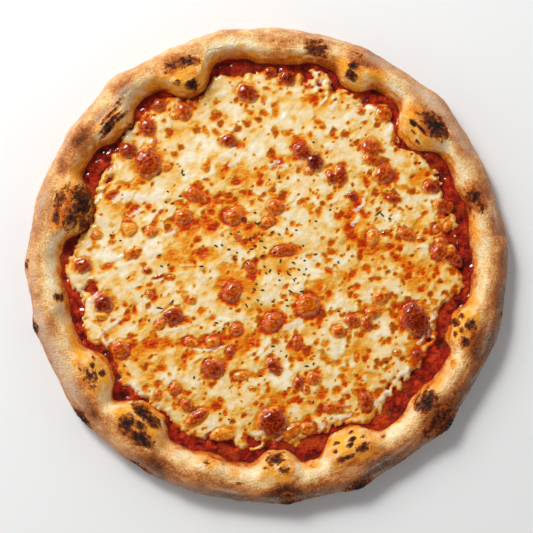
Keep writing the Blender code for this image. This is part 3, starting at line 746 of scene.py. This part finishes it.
def browned_spots(axis, random, wander):
    """Small browned spots: the strength of each and how dark it is."""
    strength = np.zeros((axis.size, axis.size))
    dark = np.zeros_like(strength)
    spots = [(*row, *SPOT_LOOK) for row in SPOTS]
    for _ in range(SPOT_COUNT):
        middle_x, middle_y = random.uniform(-SCATTER_REACH, SCATTER_REACH, 2)
        likely = 0.60 + 0.35 * middle_x / SCATTER_REACH - 0.15 * middle_y / SCATTER_REACH
        if random.uniform() > likely:
            continue
        radius = 0.6 + 1.7 * random.uniform() ** 2.0
        stretch = random.uniform(1.0, 1.8)
        darkness = np.clip(random.normal(0.45, 0.3), 0, 1)
        spots.append((middle_x, middle_y, radius, stretch, random.normal(29, 52), darkness))
    for middle_x, middle_y, radius, stretch, slant, darkness in spots:
        part, x, y = window(axis, middle_x, middle_y, 2.4 * radius * stretch)
        share = oval_share(x, y, middle_x, middle_y, radius * stretch, radius, slant)
        share = share * (1 + 0.6 * wander[part])
        keep_greater(part, 1 - smooth_step(share, 0.3, 1.7), strength, dark, darkness)
    return strength, dark


def bubble_domes(axis, wander):
    """The browned bubbles: their height, how near each point is to one, and how brown that is."""
    height = np.zeros((axis.size, axis.size))
    nearness = np.zeros_like(height)
    browning = np.zeros_like(height)
    for middle_x, middle_y, long_half, short_half, slant, brown in BUBBLES:
        part, x, y = window(axis, middle_x, middle_y, 2.2 * long_half)
        share = oval_share(x, y, middle_x, middle_y, long_half, short_half, slant)
        share = share * (1 + 0.22 * wander[part])
        dome = BUBBLE_LIFT * short_half * np.sqrt(np.clip(1 - share**2.4, 0, 1))
        height[part] = np.maximum(height[part], dome)
        keep_greater(part, np.clip(1.6 - share, 0, 1.6) / 1.6, nearness, browning, brown)
    return height, nearness, browning


def stain_field(x, y, wander):
    """How much orange oil and sauce comes through the cheese, from nothing to 1 where reddest."""
    stain = np.zeros_like(x)
    for middle_x, middle_y, long_half, short_half, slant, redness in STAINS:
        share = oval_share(x, y, middle_x, middle_y, long_half, short_half, slant) * (1 + 0.3 * wander)
        stain = np.maximum(stain, (0.45 + 0.55 * redness) * (1 - smooth_step(share, 0.45, 1.7)))
    return stain


def clear_field(x, y, wander):
    """How white the cheese stayed, from nothing to 1."""
    clear = np.zeros_like(x)
    for row in CLEAR_PLACES:
        share = oval_share(x, y, *row) * (1 + 0.3 * wander)
        clear = np.maximum(clear, 1 - smooth_step(share, 0.5, 1.5))
    return clear


def along_slant(flat, stretch):
    """Points squeezed along a slant, so that noise read there is drawn out along it."""
    turn = math.radians(SLANT)
    along = flat[..., 0] * math.cos(turn) + flat[..., 1] * math.sin(turn)
    across = flat[..., 1] * math.cos(turn) - flat[..., 0] * math.sin(turn)
    return np.stack([along / stretch, across, flat[..., 2]], axis=-1)


def baked_heat(flat, stain, clear, inside, nearness, spot, pale):
    """How far the cheese has gone from white curd (0) by butter yellow (0.4) and orange (0.65)
    to red brown (1)."""
    drawn = along_slant(flat, 1.3)
    uneven = 0.25 * (1 - 0.5 * stain)
    heat = 0.225 + uneven * noise(drawn, 5.4, SEED + 50, 2) + 0.14 * noise(flat, 24, SEED + 51, 2)
    blotch = smooth_step(noise(drawn, 3.6, SEED + 52, 2), 0.15, 0.6)
    heat = heat + 0.26 * blotch * (0.6 + 0.5 * noise(flat, 30, SEED + 53)) * (1 - 0.75 * clear)
    heat = heat + stain * (0.40 + 0.30 * noise(drawn, 5.0, SEED + 54, 2))
    heat = heat + 0.50 * spot * (1 - 0.45 * clear) - 0.07 * clear
    halo = smooth_step(nearness, 0.0, 0.34)
    heat = heat + 0.32 * halo
    heat = heat + 0.18 * (1 - smooth_step(inside, 0.5, 5))
    heat = heat - 0.30 * np.clip(pale, 0, 1) * (1 - halo) * (1 - 0.5 * spot)
    return np.clip(heat, 0, 1)


def ragged_inside(flat, angle, radius):
    """How far each place lies inside the cheese's ragged edge, below 0 where it is outside."""
    ragged = 2.8 * noise(flat, 6.5, SEED + 41, 2) + 1.5 * noise(flat, 2.4, SEED + 42)
    inside = cheese_radius(angle) - radius + ragged
    for bare_x, bare_y, half_width in BARE_PLACES:
        away = np.hypot(flat[..., 0] - bare_x, flat[..., 1] - bare_y)
        inside = np.minimum(inside, away - half_width + 1.5 * ragged)
    return inside


def sheet_faces(kept):
    """The places that a sheet uses of a square grid, and its quads, where all corners are kept."""
    cell = kept[:-1, :-1] & kept[1:, :-1] & kept[:-1, 1:] & kept[1:, 1:]
    row, column = np.nonzero(cell)
    size = kept.shape[0]
    first = row * size + column
    quads = np.stack([first, first + 1, first + size + 1, first + size], axis=-1)
    used, packed = np.unique(quads, return_inverse=True)
    return used, packed.reshape(-1, 4).tolist()


def make_cheese():
    """Melted cheese: one closed sheet that sinks into the sauce at its ragged edge."""
    random = np.random.default_rng(SEED)
    count = int(GRID_REACH / CHEESE_STEP)
    axis = np.arange(-count, count + 1) * CHEESE_STEP
    x, y = np.meshgrid(axis, axis)
    flat = np.stack([x, y, np.zeros_like(x)], axis=-1)
    radius = np.hypot(x, y)
    angle = np.arctan2(y, x)
    ragged_spots = noise(flat, 2.6, SEED + 47, 2)
    shred_height, pale = melted_shreds(axis, random, ragged_spots)
    spot, spot_dark = browned_spots(axis, random, ragged_spots)
    wander = noise(flat, 4.0, SEED + 40, 2)
    dome, nearness, browning = bubble_domes(axis, wander)
    inside = ragged_inside(flat, angle, radius)
    inside = np.maximum(inside, np.where(nearness > DOME_FOOT, 4.0, -99))
    stain = stain_field(x, y, wander)
    clear = clear_field(x, y, wander)
    heat = baked_heat(flat, stain, clear, inside, nearness, spot, pale)

    thickness = CHEESE_BODY + 0.45 * noise(flat, 17, SEED + 43)
    body = thickness * (1 - np.exp(-np.clip(inside, 0, 99) / 1.3))
    sheet = np.where(inside > 0, body, np.clip(1.2 * inside, -SINK, 0))
    off_dome = 1 - smooth_step(nearness, 0.25, 0.45)
    relief = 0.5 * shred_height * off_dome + 0.26 * noise(flat, 5.0, SEED + 44, 2) * off_dome
    relief = relief + 0.10 * noise(flat, 1.8, SEED + 45)
    relief = relief - 0.12 * (heat - 0.35) * off_dome
    height = SAUCE_TOP + sheet + smooth_step(inside, 0, 2.5) * (relief + dome)

    kept = radius < cheese_radius(angle) + 2.6
    kept |= (nearness > 0.3) & (radius < sauce_radius(angle) - 0.5)
    used, faces = sheet_faces(kept)
    points = np.stack([x, y, height], axis=-1).reshape(-1, 3)[used]
    fields = {"melt": (nearness, browning, heat), "skin": (spot, spot_dark * (1 - clear), pale)}
    marks = {name: [np.ravel(column)[used] for column in columns] for name, columns in fields.items()}
    cheese = piece_from("melted_cheese", points, faces, marks)
    close_below(cheese, SAUCE_FLOOR + 0.1)
    return cheese


def close_below(piece, level):
    """Closes a sheet into a solid with a flat underside at a level."""
    builder = bmesh.new()
    builder.from_mesh(piece.data)
    border = [edge for edge in builder.edges if edge.is_boundary]
    drawn = bmesh.ops.extrude_edge_only(builder, edges=border)["geom"]
    for corner in drawn:
        if isinstance(corner, bmesh.types.BMVert):
            corner.co.z = level * MM
    lower = [edge for edge in drawn if isinstance(edge, bmesh.types.BMEdge) and edge.is_boundary]
    bmesh.ops.holes_fill(builder, edges=lower, sides=0)
    bmesh.ops.recalc_face_normals(builder, faces=builder.faces)
    builder.to_mesh(piece.data)
    builder.free()


# --- Nodes ---


def fill(tree, target, inputs):
    """Sets a node's inputs; one that is given as a socket is linked."""
    for name, value in inputs.items():
        if isinstance(value, bpy.types.NodeSocket):
            tree.links.new(value, target.inputs[name])
        else:
            target.inputs[name].default_value = value


def node(tree, kind, inputs=None, **settings):
    """Adds a node with its settings and its inputs."""
    added = tree.nodes.new(kind)
    for name, value in settings.items():
        setattr(added, name, value)
    fill(tree, added, inputs or {})
    return added


def linear(hex_color):
    """An sRGB hex colour as linear red, green, blue and alpha."""
    channels = [int(hex_color[start:start + 2], 16) / 255 for start in (1, 3, 5)]
    return (*[c / 12.92 if c <= 0.04045 else ((c + 0.055) / 1.055) ** 2.4 for c in channels], 1.0)


def per_metre(size):
    """A texture's scale for features of a size in millimetres."""
    return 1 / (size * MM)


def blend(tree, share, under, over, blend_type="MIX", factor=1.0):
    """One colour over another by a share; colours are sockets or hex words."""
    if factor < 1.0:
        share = node(tree, "ShaderNodeMath", {0: share, 1: factor}, operation="MULTIPLY").outputs[0]
    # The colour sockets of this node are its seventh and eighth, and its third output.
    sockets = {0: share}
    for place, color in ((6, under), (7, over)):
        sockets[place] = linear(color) if isinstance(color, str) else color
    mixed = node(tree, "ShaderNodeMix", sockets, data_type="RGBA", blend_type=blend_type)
    return mixed.outputs[2]


# Dough from raw cream to nearly black, cheese from white curd to red brown, and bubble skin from
# pale to nearly black.
CRUST_COLORS = (
    (0.00, "#FDEECC"), (0.20, "#F7D79C"), (0.36, "#E9AF6C"), (0.50, "#D28748"), (0.64, "#AE632E"),
    (0.80, "#7C3F1A"), (0.96, "#46200E"),
)
CHEESE_COLORS = (
    (0.00, "#FCEFD2"), (0.13, "#FAE2B4"), (0.26, "#F7D390"), (0.37, "#F4C063"), (0.48, "#F0A431"),
    (0.61, "#EC8412"), (0.76, "#E25F05"), (0.92, "#CE4002"), (1.08, "#A82401"),
)
# Sauce from its raised pulp down to nearly black, the dark end painted shade in the pulp's hollows.
SAUCE_COLORS = (
    (0.00, "#E04412"), (0.30, "#C22806"), (0.60, "#981403"), (1.00, "#480501"),
)
SKIN_COLORS = (
    (0.20, "#F6AC34"), (0.45, "#E2740E"), (0.70, "#BC4604"), (0.95, "#842001"), (1.20, "#400C01"),
)


def shifted(tree, value, grain, amount):
    """A value pushed to and fro by a grain, and left as it is where the grain is middling."""
    pushed = node(tree, "ShaderNodeMath", {0: grain, 1: amount, 2: value}, operation="MULTIPLY_ADD")
    back = {0: pushed.outputs[0], 1: amount / 2}
    return node(tree, "ShaderNodeMath", back, operation="SUBTRACT").outputs[0]


def ramp(tree, value, colors):
    """Colours along a value, from the first stop to the last."""
    low = colors[0][0]
    span = colors[-1][0] - low
    share = node(tree, "ShaderNodeMapRange", {0: value, 1: low, 2: low + span})
    made = node(tree, "ShaderNodeValToRGB", {"Fac": share.outputs[0]})
    stops = made.color_ramp.elements
    while len(stops) < len(colors):
        stops.new(0.5)
    for stop, (at, hex_color) in zip(stops, colors):
        stop.position = (at - low) / span
        stop.color = linear(hex_color)
    return made.outputs["Color"]


def crisp(tree, mark, grain, low, high, amount):
    """A mark with its edge roughened by a grain and drawn sharp between low and high."""
    rough = {0: shifted(tree, mark, grain, amount), 1: low, 2: high}
    return node(tree, "ShaderNodeMapRange", rough, interpolation_type="SMOOTHSTEP").outputs[0]


def marks_of(tree, name):
    """The four marks of a piece's attribute: three channels and the alpha."""
    attribute = node(tree, "ShaderNodeAttribute", attribute_name=name)
    split = node(tree, "ShaderNodeSeparateColor", {0: attribute.outputs["Color"]})
    return [*split.outputs, attribute.outputs["Alpha"]]


def new_material(name):
    """A material with its node tree and its one shader."""
    material = bpy.data.materials.new(name)
    material.use_nodes = True
    return material, material.node_tree, material.node_tree.nodes["Principled BSDF"]


def grain_noises(tree, sizes):
    """Object-space noises, one for each feature size in millimetres."""
    place = node(tree, "ShaderNodeTexCoord").outputs["Object"]
    made = []
    for size in sizes:
        inputs = {"Vector": place, "Scale": per_metre(size), "Detail": 3.0}
        made.append(node(tree, "ShaderNodeTexNoise", inputs).outputs["Fac"])
    return made


def baked_dough():
    """Oven-baked wheat dough: matt, cream in its folds and tan where it browned, golden where it
    took up oil by the sauce, with burnt blisters and a dusting of flour; its toast carries painted light
    and painted shade, and its golden band painted shade on the inner wall away from the lamps."""
    material, tree, shader = new_material("baked_wheat_dough")
    toast_and_shading, char, gold_and_shade, flour = marks_of(tree, "bake")
    middling, knots, small, fine = grain_noises(tree, (5, 2.6, 1.6, 0.9))
    warmth = node(tree, "ShaderNodeMath", {0: fine, 1: 0.56, 2: toast_and_shading}, operation="MULTIPLY_ADD")
    warmth = node(tree, "ShaderNodeMath", {0: warmth.outputs[0], 1: 0.24}, operation="SUBTRACT")
    color = ramp(tree, shifted(tree, warmth.outputs[0], small, 0.36), CRUST_COLORS)
    oiled_and_shaded = crisp(tree, gold_and_shade, middling, 0.02, 0.80, 0.8)
    color = blend(tree, oiled_and_shaded, color, "#FFC14C", blend_type="MULTIPLY")
    dusted = crisp(tree, flour, fine, 0.05, 0.95, 1.0)
    color = blend(tree, dusted, color, "#D9C2AA", factor=0.68)
    scorched = crisp(tree, char, fine, 0.16, 0.42, 0.7)
    color = blend(tree, scorched, color, "#A8500F", factor=0.85)
    charred = crisp(tree, char, knots, 0.29, 0.50, 1.5)
    color = blend(tree, charred, color, "#56200A", factor=0.9)
    color = blend(tree, crisp(tree, char, knots, 0.58, 0.84, 1.5), color, "#1E0D07")
    rough = node(tree, "ShaderNodeMapRange", {0: gold_and_shade, 3: 0.80, 4: 0.45})
    heights = node(tree, "ShaderNodeMath", {0: small, 1: 0.8, 2: fine}, operation="MULTIPLY_ADD")
    pitted = {"Strength": 0.9, "Distance": 1.2 * MM, "Height": heights.outputs[0]}
    bump = node(tree, "ShaderNodeBump", pitted)
    looks = {"Base Color": color, "Roughness": rough.outputs[0], "Normal": bump.outputs[0]}
    fill(tree, shader, looks | {"IOR": 1.45, "Specular IOR Level": 0.2})
    return material


def crushed_tomato():
    """Cooked crushed tomato: wet deep red pulp with painted shade in its hollows and by the rim,
    orange where oil lies on it.
    """
    material, tree, shader = new_material("crushed_tomato_sauce")
    oily, dried_edge_and_shade, hollow_shade, _ = marks_of(tree, "wet")
    small, fine = grain_noises(tree, (2.4, 1))
    # Painted shade: the pulp's hollows are drawn darker.
    color = ramp(tree, shifted(tree, hollow_shade, small, 0.8), SAUCE_COLORS)
    color = blend(tree, crisp(tree, oily, small, 0.45, 0.95, 0.6), color, "#C8500C", factor=0.55)
    # Dried edge and painted shade: darker red where the sauce meets the rim.
    color = blend(tree, crisp(tree, dried_edge_and_shade, small, 0.3, 1.0, 0.5), color, "#7A1E04", factor=0.4)
    heights = node(tree, "ShaderNodeMath", {0: small, 1: 1.2, 2: fine}, operation="MULTIPLY_ADD")
    pulpy = {"Strength": 1.0, "Distance": 2.0 * MM, "Height": heights.outputs[0]}
    bump = node(tree, "ShaderNodeBump", pulpy)
    looks = {"Base Color": color, "Roughness": 0.30, "Normal": bump.outputs[0]}
    wet = {"IOR": 1.36, "Specular IOR Level": 0.3, "Coat Weight": 0.9, "Coat Roughness": 0.06}
    fill(tree, shader, looks | wet)
    return material


def cheese_heights(tree, nearness, heat, small):
    """The cheese's fine relief: crackled bubble skins, lumps, and a slanting ripple where wet."""
    place = node(tree, "ShaderNodeTexCoord").outputs["Object"]
    crackle = node(tree, "ShaderNodeTexVoronoi", {"Vector": place, "Scale": per_metre(1.8)})
    on_skin = {0: nearness, 1: crackle.outputs["Distance"]}
    wrinkled = node(tree, "ShaderNodeMath", on_skin, operation="MULTIPLY")
    loose = node(tree, "ShaderNodeMapRange", {0: heat, 1: 0.2, 2: 0.7, 3: 0.5, 4: 0.9})
    lumps = node(tree, "ShaderNodeMath", {0: small, 1: loose.outputs[0]}, operation="MULTIPLY")
    both = {0: wrinkled.outputs[0], 1: 0.5, 2: lumps.outputs[0]}
    heights = node(tree, "ShaderNodeMath", both, operation="MULTIPLY_ADD")
    slanting = {"Vector": place, "Rotation": (0, 0, math.radians(-SLANT)), "Scale": (0.4, 1.0, 1.0)}
    turned = node(tree, "ShaderNodeMapping", slanting)
    drawn_out = {"Vector": turned.outputs[0], "Scale": per_metre(1.5), "Detail": 1.0}
    ripple = node(tree, "ShaderNodeTexNoise", drawn_out)
    wet = node(tree, "ShaderNodeMapRange", {0: heat, 1: 0.35, 2: 0.75, 3: 0.1, 4: 1.8})
    rippled = {0: ripple.outputs["Fac"], 1: wet.outputs[0], 2: heights.outputs[0]}
    return node(tree, "ShaderNodeMath", rippled, operation="MULTIPLY_ADD").outputs[0]


def melted_mozzarella():
    """Low-moisture mozzarella, melted and browned: white curd and butter yellow, orange where its
    oil took up tomato, with toasted spots, brown skins on its bubbles, a gloss of oil, and pale strands
    whose pinkish white is partly a painted highlight."""
    material, tree, shader = new_material("melted_mozzarella")
    nearness, browning, heat, _ = marks_of(tree, "melt")
    spot, spot_dark, pale, _ = marks_of(tree, "skin")
    small, fine = grain_noises(tree, (2, 0.9))
    warmth = node(tree, "ShaderNodeMath", {0: small, 1: 0.24, 2: heat}, operation="MULTIPLY_ADD")
    finer = {0: fine, 1: 0.12, 2: warmth.outputs[0]}
    warmth = node(tree, "ShaderNodeMath", finer, operation="MULTIPLY_ADD")
    warmth = node(tree, "ShaderNodeMath", {0: warmth.outputs[0], 1: 0.18}, operation="SUBTRACT")
    color = ramp(tree, warmth.outputs[0], CHEESE_COLORS)
    # Pale strands of curd; their pinkish white is partly a painted highlight on their lit ridges.
    color = blend(tree, crisp(tree, pale, small, 0.35, 1.20, 0.6), color, "#F6DEC8", factor=0.75)
    dark_spot = node(tree, "ShaderNodeMath", {0: spot, 1: spot_dark}, operation="MULTIPLY")
    toasted = crisp(tree, dark_spot.outputs[0], fine, 0.26, 0.90, 0.3)
    color = blend(tree, toasted, color, "#A2480C", factor=0.80)
    deep = node(tree, "ShaderNodeMapRange", {0: nearness, 1: 0.36, 2: 0.85, 3: -0.06, 4: 0.12})
    deepened = node(tree, "ShaderNodeMath", {0: browning, 1: deep.outputs[0]}, operation="ADD")
    skin = ramp(tree, shifted(tree, deepened.outputs[0], small, 1.15), SKIN_COLORS)
    color = blend(tree, crisp(tree, nearness, small, 0.28, 0.54, 0.22), color, skin)
    rough = node(tree, "ShaderNodeMapRange", {0: heat, 1: 0.2, 2: 0.7, 3: 0.42, 4: 0.24})
    heights = cheese_heights(tree, nearness, heat, small)
    uneven = {"Strength": 0.75, "Distance": 0.85 * MM, "Height": heights}
    bump = node(tree, "ShaderNodeBump", uneven)
    looks = {"Base Color": color, "Roughness": rough.outputs[0], "Normal": bump.outputs[0]}
    gloss = {"IOR": 1.46, "Specular IOR Level": 0.10, "Coat Weight": 0.8, "Coat Roughness": 0.06}
    fill(tree, shader, looks | gloss)
    return material


def dried_herb():
    """Dried oregano and cracked pepper: dull, nearly black green."""
    material, tree, shader = new_material("dried_herb")
    color = blend(tree, grain_noises(tree, (2,))[0], "#14130B", "#3A3A1C")
    fill(tree, shader, {"Base Color": color, "Roughness": 0.8})
    return material


def wheat_flour():
    """Wheat flour baked onto the crust: dry matt grains, cream to tan."""
    material, tree, shader = new_material("wheat_flour")
    color = blend(tree, grain_noises(tree, (4,))[0], "#E4D0B2", "#C4A57C")
    fill(tree, shader, {"Base Color": color, "Roughness": 0.95})
    return material


# --- Scattered pieces, by Geometry Nodes ---


def scatter_tree(name, sizes):
    """An empty node tree with a geometry in and out and a number for each named size."""
    tree = bpy.data.node_groups.new(name, "GeometryNodeTree")
    tree.interface.new_socket("Geometry", in_out="INPUT", socket_type="NodeSocketGeometry")
    identifiers = {}
    for size_name in sizes:
        socket = tree.interface.new_socket(size_name, in_out="INPUT", socket_type="NodeSocketFloat")
        identifiers[size_name] = socket.identifier
    tree.interface.new_socket("Geometry", in_out="OUTPUT", socket_type="NodeSocketGeometry")
    return tree, identifiers


def finish_tree(tree, instances, material):
    """Ends a node tree: the instances made real, with their material."""
    real = node(tree, "GeometryNodeRealizeInstances", {"Geometry": instances})
    painted = node(tree, "GeometryNodeSetMaterial", {"Geometry": real.outputs[0], "Material": material})
    node(tree, "NodeGroupOutput", {"Geometry": painted.outputs[0]})


def grown_mesh(name, base, tree, identifiers, sizes, material):
    """The plain mesh that a node tree grows on a base object."""
    modifier = base.modifiers.new(name, "NODES")
    modifier.node_group = tree
    for size_name, value in sizes.items():
        modifier[identifiers[size_name]] = value
    evaluated = base.evaluated_get(bpy.context.evaluated_depsgraph_get())
    mesh = bpy.data.meshes.new_from_object(evaluated)
    mesh.name = name
    base.modifiers.remove(modifier)
    mesh.materials.clear()
    mesh.materials.append(material)
    piece = bpy.data.objects.new(name, mesh)
    bpy.context.scene.collection.objects.link(piece)
    return piece


def fleck_places(cheese):
    """An object whose points lie just above the cheese, each with a fleck's turn and length."""
    height_on_cheese = top_finder(cheese)
    mesh = bpy.data.meshes.new("fleck_places")
    places = [(x * MM, y * MM, height_on_cheese(x, y) + 0.25 * MM) for x, y, _, _ in FLECKS]
    turns = [math.radians(slant) for _, _, _, slant in FLECKS]
    lengths = [length * MM for _, _, length, _ in FLECKS]
    mesh.from_pydata(places, [], [])
    for attribute_name, values in (("fleck_turn", turns), ("fleck_length", lengths)):
        attribute = mesh.attributes.new(attribute_name, "FLOAT", "POINT")
        attribute.data.foreach_set("value", values)
    base = bpy.data.objects.new("fleck_places", mesh)
    bpy.context.scene.collection.objects.link(base)
    return base


def make_flecks(cheese, material):
    """Herb flecks lying where the table puts them, each a small bent flake on the cheese."""
    base = fleck_places(cheese)
    tree, identifiers = scatter_tree("fleck_tree", ("Width", "Thickness", "Tilt"))
    inputs = node(tree, "NodeGroupInput").outputs
    flake = node(tree, "GeometryNodeMeshIcoSphere", {"Radius": 0.5, "Subdivisions": 2})
    rough = node(tree, "ShaderNodeTexNoise", {"Scale": 2.6, "Detail": 1.0})
    about_middle = {0: rough.outputs["Color"], 1: (0.5, 0.5, 0.5)}
    centred = node(tree, "ShaderNodeVectorMath", about_middle, operation="SUBTRACT")
    bent = {"Geometry": flake.outputs[0], "Offset": centred.outputs[0]}
    pushed = node(tree, "GeometryNodeSetPosition", bent)
    points = node(tree, "GeometryNodeMeshToPoints", {"Mesh": inputs["Geometry"]})
    turn = node(tree, "GeometryNodeInputNamedAttribute", {"Name": "fleck_turn"}, data_type="FLOAT")
    length = node(tree, "GeometryNodeInputNamedAttribute", {"Name": "fleck_length"}, data_type="FLOAT")
    least = node(tree, "ShaderNodeMath", {0: inputs["Tilt"], 1: -1.0}, operation="MULTIPLY")
    between = {2: least.outputs[0], 3: inputs["Tilt"], "Seed": SEED}
    tilt = node(tree, "FunctionNodeRandomValue", between)
    rotation = node(tree, "ShaderNodeCombineXYZ", {"X": tilt.outputs[1], "Z": turn.outputs[0]})
    sides = {"X": length.outputs[0], "Y": inputs["Width"], "Z": inputs["Thickness"]}
    scale = node(tree, "ShaderNodeCombineXYZ", sides)
    each = {"Points": points.outputs[0], "Instance": pushed.outputs[0]}
    each |= {"Rotation": rotation.outputs[0], "Scale": scale.outputs[0]}
    placed = node(tree, "GeometryNodeInstanceOnPoints", each)
    finish_tree(tree, placed.outputs[0], material)
    sizes = {"Width": 1.25 * MM, "Thickness": 0.6 * MM, "Tilt": 0.5}
    piece = grown_mesh("herb_flecks", base, tree, identifiers, sizes, material)
    bpy.data.objects.remove(base)
    return piece


def make_grains(crust, material):
    """Grains of flour on the crust, thickest where the marks say it is floury."""
    tree, identifiers = scatter_tree("grain_tree", ("Density", "Smallest", "Largest"))
    inputs = node(tree, "NodeGroupInput").outputs
    mark = node(tree, "GeometryNodeInputNamedAttribute", {"Name": "bake"}, data_type="FLOAT_COLOR")
    split = node(tree, "FunctionNodeSeparateColor", {0: mark.outputs[0]})
    above = node(tree, "ShaderNodeMath", {0: split.outputs["Alpha"], 1: 0.3}, operation="SUBTRACT")
    thick = {0: above.outputs[0], 1: inputs["Density"]}
    density = node(tree, "ShaderNodeMath", thick, operation="MULTIPLY")
    spread = {"Mesh": inputs["Geometry"], "Density": density.outputs[0], "Seed": SEED}
    points = node(tree, "GeometryNodeDistributePointsOnFaces", spread)
    grain = node(tree, "GeometryNodeMeshIcoSphere", {"Radius": 1.0, "Subdivisions": 1})
    between = {2: inputs["Smallest"], 3: inputs["Largest"], "Seed": SEED}
    size = node(tree, "FunctionNodeRandomValue", between)
    each = {"Points": points.outputs[0], "Instance": grain.outputs[0]}
    each |= {"Rotation": points.outputs["Rotation"], "Scale": size.outputs[1]}
    placed = node(tree, "GeometryNodeInstanceOnPoints", each)
    finish_tree(tree, placed.outputs[0], material)
    sizes = {"Density": 0.8 / MM**2, "Smallest": 0.10 * MM, "Largest": 0.26 * MM}
    return grown_mesh("flour_grains", crust, tree, identifiers, sizes, material)


def top_finder(piece):
    """A function that gives the height in metres of a piece's top over a place in millimetres."""
    def height_at(x, y):
        hit, where, _, _ = piece.ray_cast(Vector((x * MM, y * MM, 0.1)), Vector((0, 0, -1)))
        return where.z if hit else SAUCE_TOP * MM
    return height_at


# --- Stage ---

LIGHT_DISTANCE = 1.8


def make_floor():
    """A plain white table, matt."""
    bpy.ops.mesh.primitive_plane_add(size=6)
    floor = bpy.context.object
    floor.name = "floor"
    material, tree, shader = new_material("white_table")
    looks = {"Base Color": linear("#F5F6F7"), "Roughness": 0.9, "Specular IOR Level": 0.1}
    fill(tree, shader, looks)
    floor.data.materials.append(material)


def aim(thing, target):
    """Turns a light or camera to a place in metres."""
    thing.rotation_euler = (Vector(target) - thing.location).to_track_quat("-Z", "Y").to_euler()


def add_light(name, place, size, energy, color):
    """A round area light of a size in metres, turned to the pizza."""
    data = bpy.data.lights.new(name, "AREA")
    data.shape = "DISK"
    data.size = size
    data.energy = energy
    data.color = color
    light = bpy.data.objects.new(name, data)
    light.location = place
    bpy.context.scene.collection.objects.link(light)
    aim(light, (0, 0, 0))


def make_lights():
    """A soft box and a small bright lamp from behind on the left, in a pale room whose ceiling
    over the camera is dark, so that wet places glint and stay deep in colour."""
    soft_box_place = from_angles(130, 38, LIGHT_DISTANCE)
    small_lamp_place = from_angles(124, 43, LIGHT_DISTANCE)
    add_light("soft_box", soft_box_place, 1.05, 16.5, (1.0, 0.99, 0.98))
    add_light("small_lamp", small_lamp_place, 0.44, 15.0, (1.0, 0.985, 0.965))
    world = bpy.data.worlds.new("room")
    bpy.context.scene.world = world
    world.use_nodes = True
    tree = world.node_tree
    backdrop = tree.nodes["Background"]
    backdrop.inputs["Color"].default_value = (1.0, 0.99, 0.98, 1.0)
    place = node(tree, "ShaderNodeTexCoord").outputs["Generated"]
    height = node(tree, "ShaderNodeSeparateXYZ", {0: place}).outputs["Z"]
    strength = node(tree, "ShaderNodeMapRange", {0: height, 1: 0.25, 2: 0.78, 3: 1.15, 4: 0.04})
    tree.links.new(strength.outputs[0], backdrop.inputs["Strength"])


def make_camera():
    """The camera, high over the pizza's front."""
    data = bpy.data.cameras.new("camera")
    data.lens = 85
    camera = bpy.data.objects.new("camera", data)
    from_target = from_angles(CAMERA_AZIMUTH, CAMERA_ELEVATION, CAMERA_DISTANCE)
    camera.location = Vector(CAMERA_TARGET) + Vector(from_target)
    bpy.context.scene.collection.objects.link(camera)
    aim(camera, CAMERA_TARGET)
    bpy.context.scene.camera = camera


bpy.context.scene.view_settings.view_transform = "Standard"
make_camera()
make_floor()
make_lights()

crust = make_crust()
crust.data.materials.append(baked_dough())
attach(crust, "root")
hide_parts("crust")

sauce = make_sauce()
sauce.data.materials.append(crushed_tomato())
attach(sauce, "root")
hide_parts("tomato_sauce")

cheese = make_cheese()
cheese.data.materials.append(melted_mozzarella())
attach(cheese, "root")
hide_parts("cheese")

bpy.context.view_layer.update()
flecks = make_flecks(cheese, dried_herb())
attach(flecks, "root")

grains = make_grains(crust, wheat_flour())
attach(grains, "root")
